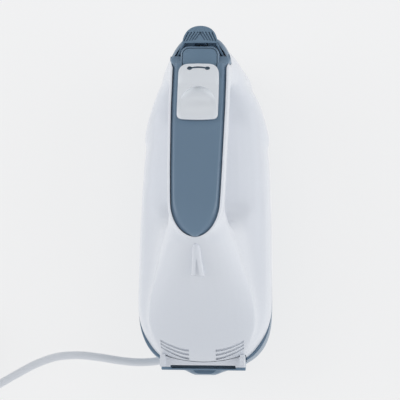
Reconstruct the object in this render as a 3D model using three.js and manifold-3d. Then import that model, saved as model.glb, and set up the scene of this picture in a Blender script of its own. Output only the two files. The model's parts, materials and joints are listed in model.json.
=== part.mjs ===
// Hand mixer, millimetres, +Z up, +Y towards the nose, standing on its flat underside at z = 0.
import * as THREE from 'three';
import Module from 'manifold-3d';
import { mergeVertices } from 'three/addons/utils/BufferGeometryUtils.js';

const wasm = await Module();
wasm.setup();

// ---------------------------------------------------------------- driving dimensions
const REAR_END = -104.5;
const FRONT_END = 97.5;
const MAX_HALF_WIDTH = 42.5;
const NOSE_HALF = 26.5;
const WALL = 2.3;
const GAP = 0.3;
const PARTING_MID = 33;
const PARTING_SLOPE = -0.118;
const BODY_TOP = 69;
const WIDEST_Z = 40;

const MOTOR_Z = 36;
const ARMATURE_R = 13;
const AIR_GAP = 0.4;
const STACK = [-27, 7];
const SHAFT_R = 3;

const SPINDLE_X = 18;
const SPINDLE_Y = 47;
const SPINDLE_R = 5.5;
const SOCKET_R = 3.3;
const GEAR_MODULE = 1;
const GEAR_TEETH = 28;
const GEAR_R = GEAR_MODULE * GEAR_TEETH / 2;
const WORM_R = SPINDLE_X - GEAR_R;
const LEAD = Math.PI * GEAR_MODULE;

const LEVER_HINGE = { y: 85.5, z: 102 };
const HINGE_PIN_R = 1;
const HINGE_EYE_R = 1.35;
const HINGE_BORE_R = 1.5;
const TONGUE_REAR = 93;
const TONGUE_HALF = 10.9;
const ARM_SPLAY = 0.48;
const ARM_ROOT_X = 10.6;
const GRIP_GROOVES = 5;

const SLIDER = { rear: 43.6, front: 79.5, half: 12.3 };
const WINDOW = { half: 5.1, y: 76, lobeR: 1.3 };

const SCREW = { headZ: 3, headR: 3.4, headH: 3, stemR: 1.5, stemTop: 42, pocketR: 3.9, holeR: 1.9, pillarR: 4.6 };
const VENT = { count: 3, inner: 8.4, outer: 26, front: -92.9, pitch: 2.5, half: 0.7, sweep: 6 };
const HOOD = { front: -31.5, rear: -47.8, top: 124.5, fall: 15.5 };
const COLLAR = { radius: 9.4, height: 4.5, bore: 0.5 };
const BEARING_R = 7;
const BUSH_R = 8;
const FAN = { y: -70, radius: 21, hubR: 6.5, blades: 9 };
const COMMUTATOR = { radius: 8.6, rear: -46, front: -36, bars: 12 };
const ARMATURE_SLOTS = 12;
const COIL_OVERHANG = 5.5;

const CORD_R = 2.6;
const COIL = { x: -178, y: -92, turnsWide: 3, layers: 2, meanRadius: 28, lift: 1 };

// ---------------------------------------------------------------- materials
function finish(color, roughness, metalness = 0) {
  return new THREE.MeshStandardMaterial({ color, roughness, metalness });
}
const WHITE_ABS = finish(0xe4e8ec, 0.35);
const BLUE_GREY_ABS = finish(0x7890a6, 0.42);
const BLACK_NYLON = finish(0x26282b, 0.6);
const WHITE_PVC = finish(0xdcdfe4, 0.5);
const ACETAL = finish(0xe9e4d4, 0.45);
const STEEL = finish(0xa9adb2, 0.3, 1);
const LAMINATION = finish(0x6d7075, 0.45, 1);
const COPPER = finish(0xb5673a, 0.4, 1);
const BRONZE = finish(0xa9834a, 0.45, 1);
const BRASS = finish(0xc9a552, 0.35, 1);
const CARBON = finish(0x2b2b2d, 0.7);
const BOARD = finish(0xb59a5e, 0.6);
const FRAME_ALLOY = finish(0xb3b6b9, 0.45, 1);

// ---------------------------------------------------------------- geometry helpers
/** Smooth function of one variable through a few [position, value] pairs. */
function through(points) {
  const slope = points.map((p, i) => {
    const before = points[Math.max(i - 1, 0)];
    const after = points[Math.min(i + 1, points.length - 1)];
    return (after[1] - before[1]) / (after[0] - before[0]);
  });
  return (x) => {
    let i = 0;
    while (i < points.length - 2 && x > points[i + 1][0]) {
      i += 1;
    }
    const span = points[i + 1][0] - points[i][0];
    const t = THREE.MathUtils.clamp((x - points[i][0]) / span, 0, 1);
    const h = t * t * (3 - 2 * t);
    const blend = points[i][1] * (1 - h) + points[i + 1][1] * h;
    const bend = slope[i] * (1 - t) - slope[i + 1] * t;
    return blend + t * (1 - t) * span * bend;
  };
}

/** Points of a quadratic curve from a towards b, without its last point. */
function arcTo(a, control, b, steps) {
  const curve = new THREE.QuadraticBezierCurve(
    new THREE.Vector2(...a), new THREE.Vector2(...control), new THREE.Vector2(...b));
  return curve.getPoints(steps).slice(0, steps).map((p) => [p.x, p.y]);
}

/** Closed ring from a right-hand half outline that starts and ends on x = 0. */
function mirrored(half) {
  const left = half.slice(1, -1).reverse().map(([x, z]) => [-x, z]);
  return half.concat(left);
}

/** Closed solid through rings of [x, z] points standing at the given y places. */
function loft(given) {
  const rings = [...given].sort((a, b) => a.y - b.y);
  const n = rings[0].ring.length;
  const position = [];
  const index = [];
  rings.forEach(({ y, ring }) => ring.forEach(([x, z]) => position.push(x, y, z)));
  for (let k = 0; k < rings.length - 1; k += 1) {
    for (let i = 0; i < n; i += 1) {
      const a = k * n + i;
      const b = k * n + (i + 1) % n;
      index.push(a, b, a + n, b, b + n, a + n);
    }
  }
  [0, rings.length - 1].forEach((k) => {
    const { y, ring } = rings[k];
    const z = ring.reduce((sum, p) => sum + p[1], 0) / n;
    const centre = position.length / 3;
    position.push(0, y, z);
    for (let i = 0; i < n; i += 1) {
      const a = k * n + i;
      const b = k * n + (i + 1) % n;
      index.push(...(k === 0 ? [centre, b, a] : [centre, a, b]));
    }
  });
  const geometry = new THREE.BufferGeometry();
  geometry.setAttribute('position', new THREE.Float32BufferAttribute(position, 3));
  geometry.setIndex(index);
  return geometry;
}

/** Even stations from start to end. */
function stations(start, end, count) {
  return Array.from({ length: count + 1 }, (_, i) => start + (end - start) * i / count);
}

/** Turns a closed geometry into a solid that can be joined and cut. */
function solid(geometry) {
  const bare = geometry.clone();
  bare.deleteAttribute('normal');
  bare.deleteAttribute('uv');
  const merged = mergeVertices(bare, 1e-4);
  const made = new wasm.Manifold(new wasm.Mesh({
    numProp: 3,
    vertProperties: new Float32Array(merged.attributes.position.array),
    triVerts: new Uint32Array(merged.index.array),
  }));
  return made;
}

/** Joins any number of solids. */
function join(...solids) {
  return solids.reduce((whole, piece) => whole.add(piece));
}

/** Box between two corners. */
function box(x0, x1, y0, y1, z0, z1) {
  const geometry = new THREE.BoxGeometry(x1 - x0, y1 - y0, z1 - z0);
  geometry.translate((x0 + x1) / 2, (y0 + y1) / 2, (z0 + z1) / 2);
  return solid(geometry);
}

/** Upright round bar between two heights. */
function post(x, y, z0, z1, radius, sides = 20) {
  const geometry = new THREE.CylinderGeometry(radius, radius, z1 - z0, sides);
  geometry.rotateX(Math.PI / 2);
  geometry.translate(x, y, (z0 + z1) / 2);
  return solid(geometry);
}

/** Round bar along Y about the motor's axis. */
function drum(y0, y1, radius, sides = 24) {
  const geometry = new THREE.CylinderGeometry(radius, radius, y1 - y0, sides);
  geometry.translate(0, (y0 + y1) / 2, MOTOR_Z);
  return solid(geometry);
}

/** Round bar along X. */
function crossbar(x0, x1, y, z, radius, sides = 20) {
  const geometry = new THREE.CylinderGeometry(radius, radius, x1 - x0, sides);
  geometry.rotateZ(Math.PI / 2);
  geometry.translate((x0 + x1) / 2, y, z);
  return solid(geometry);
}

/** Shape with a flat outline given as [u, v] points. */
function outline(points) {
  return new THREE.Shape(points.map(([u, v]) => new THREE.Vector2(u, v)));
}

/** Prism of a plan shape between two heights. */
function slab(shape, z0, z1) {
  const geometry = new THREE.ExtrudeGeometry(shape, { depth: z1 - z0, bevelEnabled: false, curveSegments: 10 });
  geometry.translate(0, 0, z0);
  return solid(geometry);
}

/** Prism along X of a side-view shape drawn in (y, z). */
function sidePrism(shape, x0, x1) {
  const geometry = new THREE.ExtrudeGeometry(shape, { depth: x1 - x0, bevelEnabled: false, curveSegments: 8 });
  const turn = new THREE.Matrix4().makeBasis(
    new THREE.Vector3(0, 1, 0), new THREE.Vector3(0, 0, 1), new THREE.Vector3(1, 0, 0));
  geometry.applyMatrix4(turn);
  geometry.translate(x0, 0, 0);
  return solid(geometry);
}

/** Prism along Y of an end-view shape drawn in (x, z), from y0 to y1. */
function endPrism(shape, y0, y1, segments = 8) {
  const geometry = new THREE.ExtrudeGeometry(
    shape, { depth: y1 - y0, bevelEnabled: false, curveSegments: segments });
  const turn = new THREE.Matrix4().makeBasis(
    new THREE.Vector3(1, 0, 0), new THREE.Vector3(0, 0, 1), new THREE.Vector3(0, -1, 0));
  geometry.applyMatrix4(turn);
  geometry.translate(0, y1, 0);
  return solid(geometry);
}

/** Tube of round section along points, with flat ends. */
function tube(points, radius, sides, steps) {
  const section = new THREE.Shape();
  for (let i = 0; i < sides; i += 1) {
    const a = 2 * Math.PI * i / sides;
    const method = i === 0 ? 'moveTo' : 'lineTo';
    section[method](radius * Math.cos(a), radius * Math.sin(a));
  }
  section.closePath();
  const path = new THREE.CatmullRomCurve3(points.map((p) => new THREE.Vector3(...p)));
  return new THREE.ExtrudeGeometry(section, { steps, extrudePath: path, bevelEnabled: false });
}

const mixer = new THREE.Group();

/** Adds one named piece to the mixer. */
function add(name, shape, material) {
  let geometry = shape;
  if (!shape.isBufferGeometry) {
    const mesh = shape.getMesh();
    geometry = new THREE.BufferGeometry();
    geometry.setAttribute('position', new THREE.BufferAttribute(mesh.vertProperties, 3));
    geometry.setIndex(new THREE.BufferAttribute(mesh.triVerts, 1));
  }
  const mesh = new THREE.Mesh(geometry, material);
  mesh.name = name;
  mixer.add(mesh);
  return mesh;
}

// ---------------------------------------------------------------- outer form
const sideHalf = through([[-62, MAX_HALF_WIDTH], [-22, 41.9], [3, 41], [23, 40.1], [36, 38.7], [44, 37.2],
  [51, 35.7], [58, 33.6], [65.4, 31.2], [72.7, 27.2], [74, NOSE_HALF]]);

/** Half width of the casing at y, with both ends rounded in plan. */
function casingHalf(y) {
  if (y < -62) {
    const t = (-62 - y) / (-62 - REAR_END);
    return MAX_HALF_WIDTH * (1 - t ** 2.8) ** (1 / 2.8);
  }
  if (y > 74) {
    const t = (y - 74) / (FRONT_END - 74);
    return NOSE_HALF * (1 - t ** 1.7) ** (1 / 1.7);
  }
  return sideHalf(y);
}

const casingTop = through([[-104.5, 38], [-100, 52], [-93, 58], [-80, 64], [-62, 68], [-30, BODY_TOP],
  [60, BODY_TOP], [85, 64], [97.5, 50]]);
const casingShoulderZ = through([[-104.5, 34], [-100, 46], [-90, 54], [-60, 61], [40, 62], [74, 58], [97.5, 44]]);
const casingBaseCurve = through([[-104.5, 24], [-102, 15], [-97, 8.5], [-91, 3.6], [-84, 0], [-70, 0], [60, 0],
  [70, 0], [82, 3], [91, 11], [97.5, 30]]);
const casingBase = (y) => Math.max(casingBaseCurve(y), 0);
const handleTop = through([[-30, 131.5], [-24, 134], [-14, 135.5], [6, 132.5], [25, 128], [43, 123.2],
  [56, 119], [69, 114.2], [80, 111.5], [90, 109.5]]);
const handleUnder = through([[-30, 96], [-12, 103], [12, 105.5], [32, 102.5], [50, 98.5], [66, 93], [80, 90]]);
const stripSide = through([[-12, 14], [-6, 14.6], [6.5, 15.1], [25, 15.6], [43.5, 16], [56, 16.2], [82, 16.2]]);

/** Half width of the handle's inlay at y, round at the rear end. */
function stripHalf(y) {
  if (y < -6) {
    const t = (-6 - y) / 21;
    return 14.6 * Math.sqrt(Math.max(1 - t * t, 0));
  }
  return stripSide(y);
}

const humpTop = through([[-104.4, 40], [-100, 53.5], [-95, 60.5], [-87, 67], [-76, 75], [-66, 83], [-55, 93.5],
  [-45, 105], [-34, 119.5], [-29, 126], [-22, 129], [12, 126]]);
const humpCreaseX = through([[-104.4, 3], [-97, 22], [-87, 31], [-75, 33.5], [-60, 31.8], [-48, 27.8],
  [-30, 22.4], [-15, 16.8], [12, 15]]);
const humpCreaseZ = through([[-104.4, 37], [-97, 53], [-87, 61.5], [-75, 67], [-60, 74], [-48, 84], [-30, 101],
  [-15, 117], [12, 117]]);
const neckRimX = through([[40, 16.5], [66, 17.4], [78, 18], [83, 18.4], [88, 16.6], [91, 15], [94.6, 12.3], [97, 8.8]]);
const neckRimZ = through([[40, 100], [66, 100.5], [78, 100], [85, 98], [97, 95]]);
const neckSideZ = through([[40, 44], [50, 50], [61, 58], [68, 67], [81, 74], [88, 84], [97, 88]]);

/** Ring of the low body at y, drawn in by the inset. */
function casingRing(y, inset, steps = 3) {
  const half = Math.max(casingHalf(y) - inset, 0.6);
  const top = casingTop(y) - inset;
  const base = casingBase(y) + inset;
  const shoulder = [0.78 * half, casingShoulderZ(y) - inset];
  const widest = [half, Math.min(WIDEST_Z, (top + base) / 2 + 4)];
  const footX = Math.max(half - 4.5, 0.45);
  const corner = Math.min(7, footX * 0.5);
  const foot = [footX, Math.min(base + corner, widest[1] - 2)];
  return mirrored([
    ...arcTo([0, top], [0.45 * half, top], shoulder, steps - 1),
    ...arcTo(shoulder, [half, shoulder[1] - 4], widest, steps),
    ...arcTo(widest, [half - 0.5, widest[1] * 0.6 + foot[1] * 0.4], foot, 2),
    ...arcTo(foot, [foot[0], base], [foot[0] - corner, base], steps - 1),
    [foot[0] - corner, base],
    [0, base],
  ]);
}

/** Ring of the rear hump at y: a crowned top, a crease, and a hollow flank down into the body. */
function humpRing(y, inset, steps = 3) {
  const top = humpTop(y) - inset;
  const crease = [Math.max(humpCreaseX(y) - inset, 0.5), humpCreaseZ(y) - inset];
  const foot = [Math.max(casingHalf(y) - 7 - inset, 1), Math.min(56, crease[1] - 3)];
  const hollow = [crease[0] * 0.8 + foot[0] * 0.2, foot[1] * 0.7 + crease[1] * 0.3];
  const low = Math.min(46, foot[1] - 2);
  return mirrored([
    ...arcTo([0, top], [0.7 * crease[0], top], crease, steps - 1),
    ...arcTo(crease, hollow, foot, steps),
    foot,
    [foot[0], low],
    [0, low],
  ]);
}

/** Ring of the front neck at y: a rim under the nose cap and a convex flank down to the body. */
function neckRing(y, inset, rise = 0) {
  const rim = [Math.max(neckRimX(y) - inset, 0.8), neckRimZ(y) - (rise ? 0 : inset) + rise];
  const side = [Math.max(casingHalf(y) - inset, rim[0] + 0.1), neckSideZ(y)];
  const flank = [rim[0] * 0.35 + side[0] * 0.65, rim[1] * 0.62 + side[1] * 0.38];
  const low = Math.min(38, casingTop(y) - 8);
  const shoulder = [rim[0], neckRimZ(y) - inset];
  return mirrored([
    [0, rim[1]],
    rim,
    ...arcTo([shoulder[0], shoulder[1] - 0.01], flank, side, inset > 0 ? 2 : 4),
    side,
    [side[0], low],
    [0, low],
  ]);
}

/** Ring of the handle at y, drawn in by the inset. */
function handleRing(y, inset) {
  const half = Math.max(stripHalf(y) + 1.6 - inset, 1);
  const top = handleTop(y);
  const under = handleUnder(y) + inset;
  return mirrored([
    [0, top],
    [half - 1, top],
    [half, top - 1.2],
    ...arcTo([half + 0.6, top - 6], [half + 1.4, under + 6], [half - 5, under + 1], 4),
    [Math.max(half - 5, 0.6), under + 1],
    [0, under],
  ]);
}

/** Ring of a channel with straight sides between two heights. */
function channelRing(half, low, high) {
  return mirrored([[0, high], [half, high], [half, low], [0, low]]);
}

/** Loft along y of a ring function. */
function swept(places, ringAt) {
  return solid(loft(places.map((y) => ({ y, ring: ringAt(y) }))));
}

const REAR_ROUND = [0, 0.5, 2, 5, 9.5, 16, 26, 42].map((d) => REAR_END + 0.1 + d);
const FRONT_ROUND = [0, 0.6, 2.4, 6, 12, 20].map((d) => FRONT_END - 0.1 - d).reverse();
const CASING_PLACES = [...REAR_ROUND, ...stations(-40, 68, 5), ...FRONT_ROUND];
const HUMP_PLACES = [...REAR_ROUND, -55, -48, -40, -34, -28, -20, -10, 6];
const NECK_PLACES = [42, 50, 58, 66, 72, 78, 82, 85, 88, 91, 94, 96, 97.2];
const HANDLE_PLACES = [-28.3, -27.2, -25, -21, -15, -6, 6, 20, 34, 48, 60, 70, 80];

/** Side view of the finger opening, grown outwards by the margin at its two ends. */
function fingerOpening(margin) {
  const rear = [[-6, 150], [-6, 106], [-12, 98], [-14.5, 87], [-12, 75], [-4, 62], [10, 50]];
  const front = [[34, 44], [46, 57], [56, 66], [63, 77], [65.5, 87], [62, 96], [57, 101], [57, 150]];
  const profile = [
    ...rear.map(([y, z]) => [y - margin, z]),
    ...front.map(([y, z]) => [y + margin, z]),
  ];
  return sidePrism(outline(profile), -60, 60);
}

const openHand = fingerOpening(0);
const openHandWalls = fingerOpening(WALL);
const handleBar = swept(HANDLE_PLACES, (y) => handleRing(y, 0));
const outerForm = join(
  swept(CASING_PLACES, (y) => casingRing(y, 0)),
  swept(HUMP_PLACES, (y) => humpRing(y, 0)).subtract(openHand),
  swept(NECK_PLACES, (y) => neckRing(y, 0)).subtract(openHand),
  handleBar,
);
const INNER_PLACES = [-102.2, -99, -93, -82, -62, -25, 10, 40, 62, 78, 88, 94.6];
const bodyHollow = swept(INNER_PLACES, (y) => casingRing(y, WALL, 2));
const humpHollow = swept([-96, -86, -70, -55, -42, -30, -20, 6], (y) => humpRing(y, WALL, 2))
  .subtract(openHandWalls);
const neckHollow = swept([46, 60, 72, 82, 88, 92, 94.8], (y) => neckRing(y, WALL, 6))
  .subtract(openHandWalls);
const handleHollow = swept([-24, -22, -18, -12, 0, 20, 40, 60, 70, 84],
  (y) => channelRing(Math.max(stripHalf(y) - 1.3, 2), handleUnder(y) + WALL + 1, handleTop(y) + 2));

/** Everything below (or above) the sloping parting face between the two housings. */
function belowParting(shift) {
  const y0 = -120;
  const y1 = 120;
  const z = (y) => PARTING_MID + PARTING_SLOPE * y + shift;
  return sidePrism(outline([[y0, -10], [y1, -10], [y1, z(y1)], [y0, z(y0)]]), -70, 70);
}

// ---------------------------------------------------------------- nose cap and handle inlay
const capHalf = through([[78, 16.6], [82, 18.6], [85, 18.5], [88, 17.4], [91, 15.8], [94.6, 13], [97, 10.2], [98.6, 5]]);
const COVER_DEPTH = 3.2;
const CAP_BASE_Z = 96.5;
const CAP_FLOOR = 2;
const PLATFORM = { half: 11.7, rear: 70, front: 90.3 };

/** Inlay of the handle with the nose cap, grown by the margin for the seat in the housing. */
function coverBody(margin) {
  const strip = swept([-26.8 - margin, -26, -24.5, -21, -15, -6, 10, 26, 42, 56, 68, 78], (y) => {
    const half = Math.max(stripHalf(y) + margin, 0.8);
    const top = handleTop(y);
    const low = top - COVER_DEPTH - margin;
    const crown = margin > 0 ? 4 : 0.5;
    return mirrored([[0, top + crown], [half * 0.7, top + crown * 0.6], [half, top - 0.4 + margin * 10], [half, low],
      [0, low]]);
  });
  const cap = swept([74, 78, 82, 85, 87.5, 90, 94, 97, 98.4], (y) => {
    const half = capHalf(y) + margin;
    const base = CAP_BASE_Z + 1.4 * (85 - y) / 12 - margin;
    const shoulder = Math.max(handleTop(Math.min(y, 90)) - 5.5 - Math.max(y - 85, 0) * 0.35, 102);
    return mirrored([[0, shoulder + 1.2 + margin], [half - 4.5, shoulder + 1 + margin], [half - 1.2, shoulder - 2],
      [half, base], [0, base]]);
  });
  return strip.add(cap);
}

/** Raised block under the slider's front end, with rounded front corners. */
function platformShape(half, rear, front, radius) {
  const shape = new THREE.Shape();
  shape.moveTo(-half, rear);
  shape.lineTo(half, rear);
  shape.lineTo(half, front - radius);
  shape.quadraticCurveTo(half, front, half - radius, front);
  shape.lineTo(-half + radius, front);
  shape.quadraticCurveTo(-half, front, -half, front - radius);
  shape.closePath();
  return shape;
}

const platformTop = handleTop(84) + 0.4;
const platform = slab(platformShape(PLATFORM.half, PLATFORM.rear, PLATFORM.front, 5), 100, platformTop);
const platformSeat = slab(
  platformShape(PLATFORM.half + GAP, PLATFORM.rear - GAP, PLATFORM.front + GAP, 5), 100 - GAP, 130);
const leverPocket = join(
  slab(outline([[-11.6, 100], [-17.1, 84], [-16.6, 82], [-12, 82], [-12, 87.2], [-10.4, 89.4], [-7.6, 91],
    [7.6, 91], [10.4, 89.4], [12, 87.2], [12, 82], [16.6, 82], [17.1, 84], [11.6, 100]]),
  CAP_BASE_Z + CAP_FLOOR, 125),
);
const panelSeat = slab(platformShape(10.8, 66, 89.2, 4.4), platformTop - 1.6, 125);
const carrierSlot = box(-3.2, 3.2, 44, 82, 90, 130);
const ejectorSlot = box(-4, 4, 88.6, 95.4, 90, 99.4);
const pinBore = crossbar(-20, 20, LEVER_HINGE.y, LEVER_HINGE.z, HINGE_BORE_R);
const topCover = coverBody(0).subtract(leverPocket).add(platform)
  .subtract(panelSeat).subtract(carrierSlot).subtract(ejectorSlot).subtract(pinBore);
add('top_cover', topCover, BLUE_GREY_ABS);

// ---------------------------------------------------------------- housings
const SCREWS = [[-17, 78], [17, 78], [-30, -82], [30, -82]];
const socketHoles = join(...[-1, 1].map((s) => post(s * SPINDLE_X, SPINDLE_Y, -2, 12, COLLAR.radius + 0.4)));

/** Screw pillars, their holes and the sunk heads' pockets. */
const lowerPillars = join(...SCREWS.map(([x, y]) => post(x, y, 1, 60, SCREW.pillarR, 16)))
  .intersect(belowParting(-GAP / 2))
  .intersect(outerForm);
const upperPillars = join(...SCREWS.map(([x, y]) => post(x, y, 10, 104, SCREW.pillarR, 16)))
  .subtract(belowParting(GAP / 2))
  .intersect(outerForm);
const screwHoles = join(...SCREWS.map(([x, y]) => join(
  post(x, y, -2, SCREW.headZ + SCREW.headH + 0.4, SCREW.pocketR, 16),
  post(x, y, SCREW.headZ, 52, SCREW.holeR, 12),
)));

/** Curved cooling slots on both sides of the rear end. */
function ventSlots() {
  const slots = [];
  for (const side of [-1, 1]) {
    for (let k = 0; k < VENT.count; k += 1) {
      const upper = [];
      const lower = [];
      for (const t of stations(0, 1, 6)) {
        const x = VENT.inner + (VENT.outer - VENT.inner) * t;
        const y = VENT.front - VENT.pitch * k * (1 - 0.25 * t) + VENT.sweep * t ** 1.6;
        upper.push([side * x, y + VENT.half]);
        lower.push([side * x, y - VENT.half]);
      }
      slots.push(slab(outline([...upper, ...lower.reverse()]), 48, 80));
    }
  }
  return join(...slots);
}

/** Small hood behind the handle that guides the wrapped cord, hollow towards the rear. */
function cordHood() {
  const hood = swept([HOOD.front, -34, -38, -43, HOOD.rear], (y) => {
    const t = (HOOD.front - y) / (HOOD.front - HOOD.rear);
    const half = 1.6 + 1.9 * t;
    const top = HOOD.top - HOOD.fall * t ** 1.15;
    return mirrored([[0, top], [half * 0.7, top - 0.6], [half, top - 2.5], [half, top - 16], [0, top - 16]]);
  });
  const hollow = swept([-38, -48.5], (y) => {
    const t = (-38 - y) / 10.5;
    const top = 116 - 9.5 * t;
    return mirrored([[0, top], [1.2 + t, top - 1.5], [1.2 + t, humpTop(y) - 0.3], [0, humpTop(y) - 0.3]]);
  });
  return hood.subtract(hollow);
}

const gripSplit = swept([-4, 10, 25, 40, 54], (y) => channelRing(30, 80, handleUnder(y) + 10));
const gripSplitSeat = swept([-4.3, 10, 25, 40, 54.3], (y) => channelRing(30, 80, handleUnder(y) + 10 + GAP));
const fullShell = outerForm.add(cordHood())
  .subtract(bodyHollow).subtract(humpHollow).subtract(neckHollow).subtract(handleHollow);
const handleSeat = coverBody(GAP + 0.15);
const HEEL = { half: 26.5, front: -92, rear: -102.6, top: 59, low: 39.5 };
const heelSeat = box(-HEEL.half - GAP, HEEL.half + GAP, -110, -95, HEEL.low - GAP, HEEL.top + 4);
const upperHousing = fullShell.add(upperPillars)
  .subtract(belowParting(GAP / 2))
  .subtract(handleSeat)
  .subtract(platformSeat)
  .subtract(gripSplitSeat)
  .subtract(ventSlots())
  .subtract(heelSeat)
  .subtract(screwHoles);
const handleGrip = handleBar.subtract(handleHollow).intersect(gripSplit);
add('upper_housing', upperHousing, WHITE_ABS);
add('handle_grip', handleGrip, WHITE_ABS);

const RELIEF = [[-3, -84, 7.6], [-9, -90, 6], [-18, -95, 4.6], [-30, -98.6, 3.5]];
const reliefPocket = solid(tube([[4, -76, 9], ...RELIEF, [-44, -100, 3]], 5, 10, 12));
const cordEye = solid(tube([RELIEF[1], RELIEF[0], [2, -78, 9], [4, -72, 11]], 4.2, 10, 8));
const lowerHousing = outerForm.subtract(bodyHollow)
  .intersect(belowParting(-GAP / 2))
  .add(lowerPillars)
  .subtract(screwHoles)
  .subtract(socketHoles)
  .subtract(reliefPocket)
  .subtract(cordEye)
  .subtract(heelSeat);
add('lower_housing', lowerHousing, BLUE_GREY_ABS);

// ---------------------------------------------------------------- heel rest
/** Shelf with a rib at each end; the pad fills the space under it. */
const heelShelf = join(
  box(-HEEL.half, HEEL.half, HEEL.rear, -95.3, 50, HEEL.top - 4),
  box(-HEEL.half, -HEEL.half + 3, HEEL.rear, -95.3, 50, HEEL.top + 1),
  box(HEEL.half - 3, HEEL.half, HEEL.rear, -95.3, 50, HEEL.top + 1),
).subtract(box(-20.5, 20.5, -110, -100.6, 40, 53.6));
add('heel_rest', heelShelf, WHITE_ABS);
const padShape = new THREE.Shape();
padShape.moveTo(-HEEL.half, 50 - GAP);
padShape.lineTo(-HEEL.half, HEEL.low + 4);
padShape.quadraticCurveTo(-HEEL.half, HEEL.low, -HEEL.half + 4, HEEL.low);
padShape.lineTo(HEEL.half - 4, HEEL.low);
padShape.quadraticCurveTo(HEEL.half, HEEL.low, HEEL.half, HEEL.low + 4);
padShape.lineTo(HEEL.half, 50 - GAP);
padShape.closePath();
add('heel_pad', endPrism(padShape, -104.2, -95.3, 4), BLUE_GREY_ABS);

for (const side of [-1, 1]) {
  const name = side < 0 ? 'left' : 'right';
  const collar = post(side * SPINDLE_X, SPINDLE_Y, 0, COLLAR.height, COLLAR.radius)
    .subtract(post(side * SPINDLE_X, SPINDLE_Y, -1, 6, SPINDLE_R + COLLAR.bore));
  add(`socket_collar_${name}`, collar, ACETAL);
}
SCREWS.forEach(([x, y], i) => {
  const screw = join(
    post(x, y, SCREW.headZ, SCREW.headZ + SCREW.headH, SCREW.headR, 12),
    post(x, y, SCREW.headZ + SCREW.headH - 0.5, SCREW.stemTop, SCREW.stemR, 8),
  ).subtract(box(x - 2.4, x + 2.4, y - 0.5, y + 0.5, 0, SCREW.headZ + 1.2));
  add(`housing_screw_${i + 1}`, screw, STEEL);
});

// ---------------------------------------------------------------- speed slider and eject lever
add('scale_panel', slab(platformShape(10.4, 70.5, 88.8, 4), platformTop - 1.3, platformTop + 0.3), BLUE_GREY_ABS);

/** Slider cap: a shell over the inlay with a thumb hollow and a two-lobed window. */
function sliderCap() {
  const { rear, front, half } = SLIDER;
  const plan = new THREE.Shape();
  plan.moveTo(-half + 2.5, rear);
  plan.quadraticCurveTo(0, rear - 0.8, half - 2.5, rear);
  plan.quadraticCurveTo(half, rear + 0.2, half, rear + 3);
  plan.lineTo(half - 0.5, front - 7);
  plan.quadraticCurveTo(half - 1.2, front, half - 6.5, front);
  plan.lineTo(-half + 6.5, front);
  plan.quadraticCurveTo(-half + 1.2, front, -half + 0.5, front - 7);
  plan.lineTo(-half, rear + 3);
  plan.quadraticCurveTo(-half, rear + 0.2, -half + 2.5, rear);
  const crown = sidePrism(outline([[40, 124.6], [46, 123.6], [60, 118.7], [70, 115.2], [82, 113.3], [82, 118.4],
    [66, 121.4], [62, 122.6], [57, 123.6], [50, 126], [44, 126.8], [40, 126]]), -20, 20);
  const thumb = new THREE.SphereGeometry(15, 20, 12);
  thumb.scale(0.72, 1, 0.62);
  thumb.translate(0, 57, 130.4);
  const lobes = join(post(-WINDOW.half, WINDOW.y, 100, 130, WINDOW.lobeR, 10),
    post(WINDOW.half, WINDOW.y, 100, 130, WINDOW.lobeR, 10),
    box(-WINDOW.half, WINDOW.half, WINDOW.y, WINDOW.y + 1, 100, 130));
  return slab(plan, 100, 140).intersect(crown).subtract(solid(thumb)).subtract(lobes);
}
add('speed_slider', sliderCap(), WHITE_ABS);
add('slider_carrier', box(-2.7, 2.7, 47.5, 57.5, 109.5, 119.2).intersect(
  sidePrism(outline([[46, 100], [62, 100], [62, 117.4], [46, 122.5]]), -5, 5)), ACETAL);
add('slide_switch', box(-8, 8, 46, 67, 102.8, 107.3), BLACK_NYLON);

/** Press tongue with two arms that reach back to the hinge pin. */
function ejectLever() {
  const tongue = new THREE.Shape();
  tongue.moveTo(-TONGUE_HALF, TONGUE_REAR);
  tongue.quadraticCurveTo(1 - TONGUE_HALF, 100.4, -5, 103.2);
  tongue.quadraticCurveTo(0, 105.8, 5, 103.2);
  tongue.quadraticCurveTo(TONGUE_HALF - 1, 100.4, TONGUE_HALF, TONGUE_REAR);
  tongue.closePath();
  const profile = outline([[92, 106.2], [98, 104.6], [106, 99.5], [106, 106], [103.6, 107.4], [100, 109.6],
    [96, 111.4], [92, 112.6]]);
  const grooves = [];
  for (const side of [-1, 1]) {
    for (let k = 0; k < GRIP_GROOVES; k += 1) {
      const x = side * (1.4 + 2.1 * k);
      const bar = new THREE.BoxGeometry(0.6, 8, 1.4);
      bar.rotateZ(side * (0.62 - 0.09 * k));
      bar.translate(x - side * 0.6, 96.6, 111.8);
      bar.applyMatrix4(new THREE.Matrix4().makeShear(0, 0, 0, -0.2, 0, 0));
      bar.translate(0, 0, 19.2);
      grooves.push(solid(bar));
    }
  }
  const arm = (side) => sidePrism(outline([[94, 105], [94, 110], [83.6, 105], [82.8, 103.4], [82.8, 100.6],
    [83.8, 99.7], [87, 99.7], [88.4, 101]]), -0.7, 0.7)
    .transform([1, 0, 0, 0, -side * ARM_SPLAY, 1, 0, 0, 0, 0, 1, 0,
      side * (ARM_ROOT_X + ARM_SPLAY * TONGUE_REAR), 0, 0, 1]);
  const push = box(-3, 3, 91.8, 94.6, 93.6, 108);
  const pinEyes = crossbar(-17, 17, LEVER_HINGE.y, LEVER_HINGE.z, HINGE_EYE_R);
  return slab(tongue, 90, 120).intersect(sidePrism(profile, -15, 15))
    .subtract(join(...grooves)).add(arm(-1)).add(arm(1)).add(push).subtract(pinEyes);
}
add('eject_lever', ejectLever(), BLUE_GREY_ABS);
add('lever_pin', crossbar(-16.3, 16.3, LEVER_HINGE.y, LEVER_HINGE.z, HINGE_PIN_R, 12), STEEL);

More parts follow.
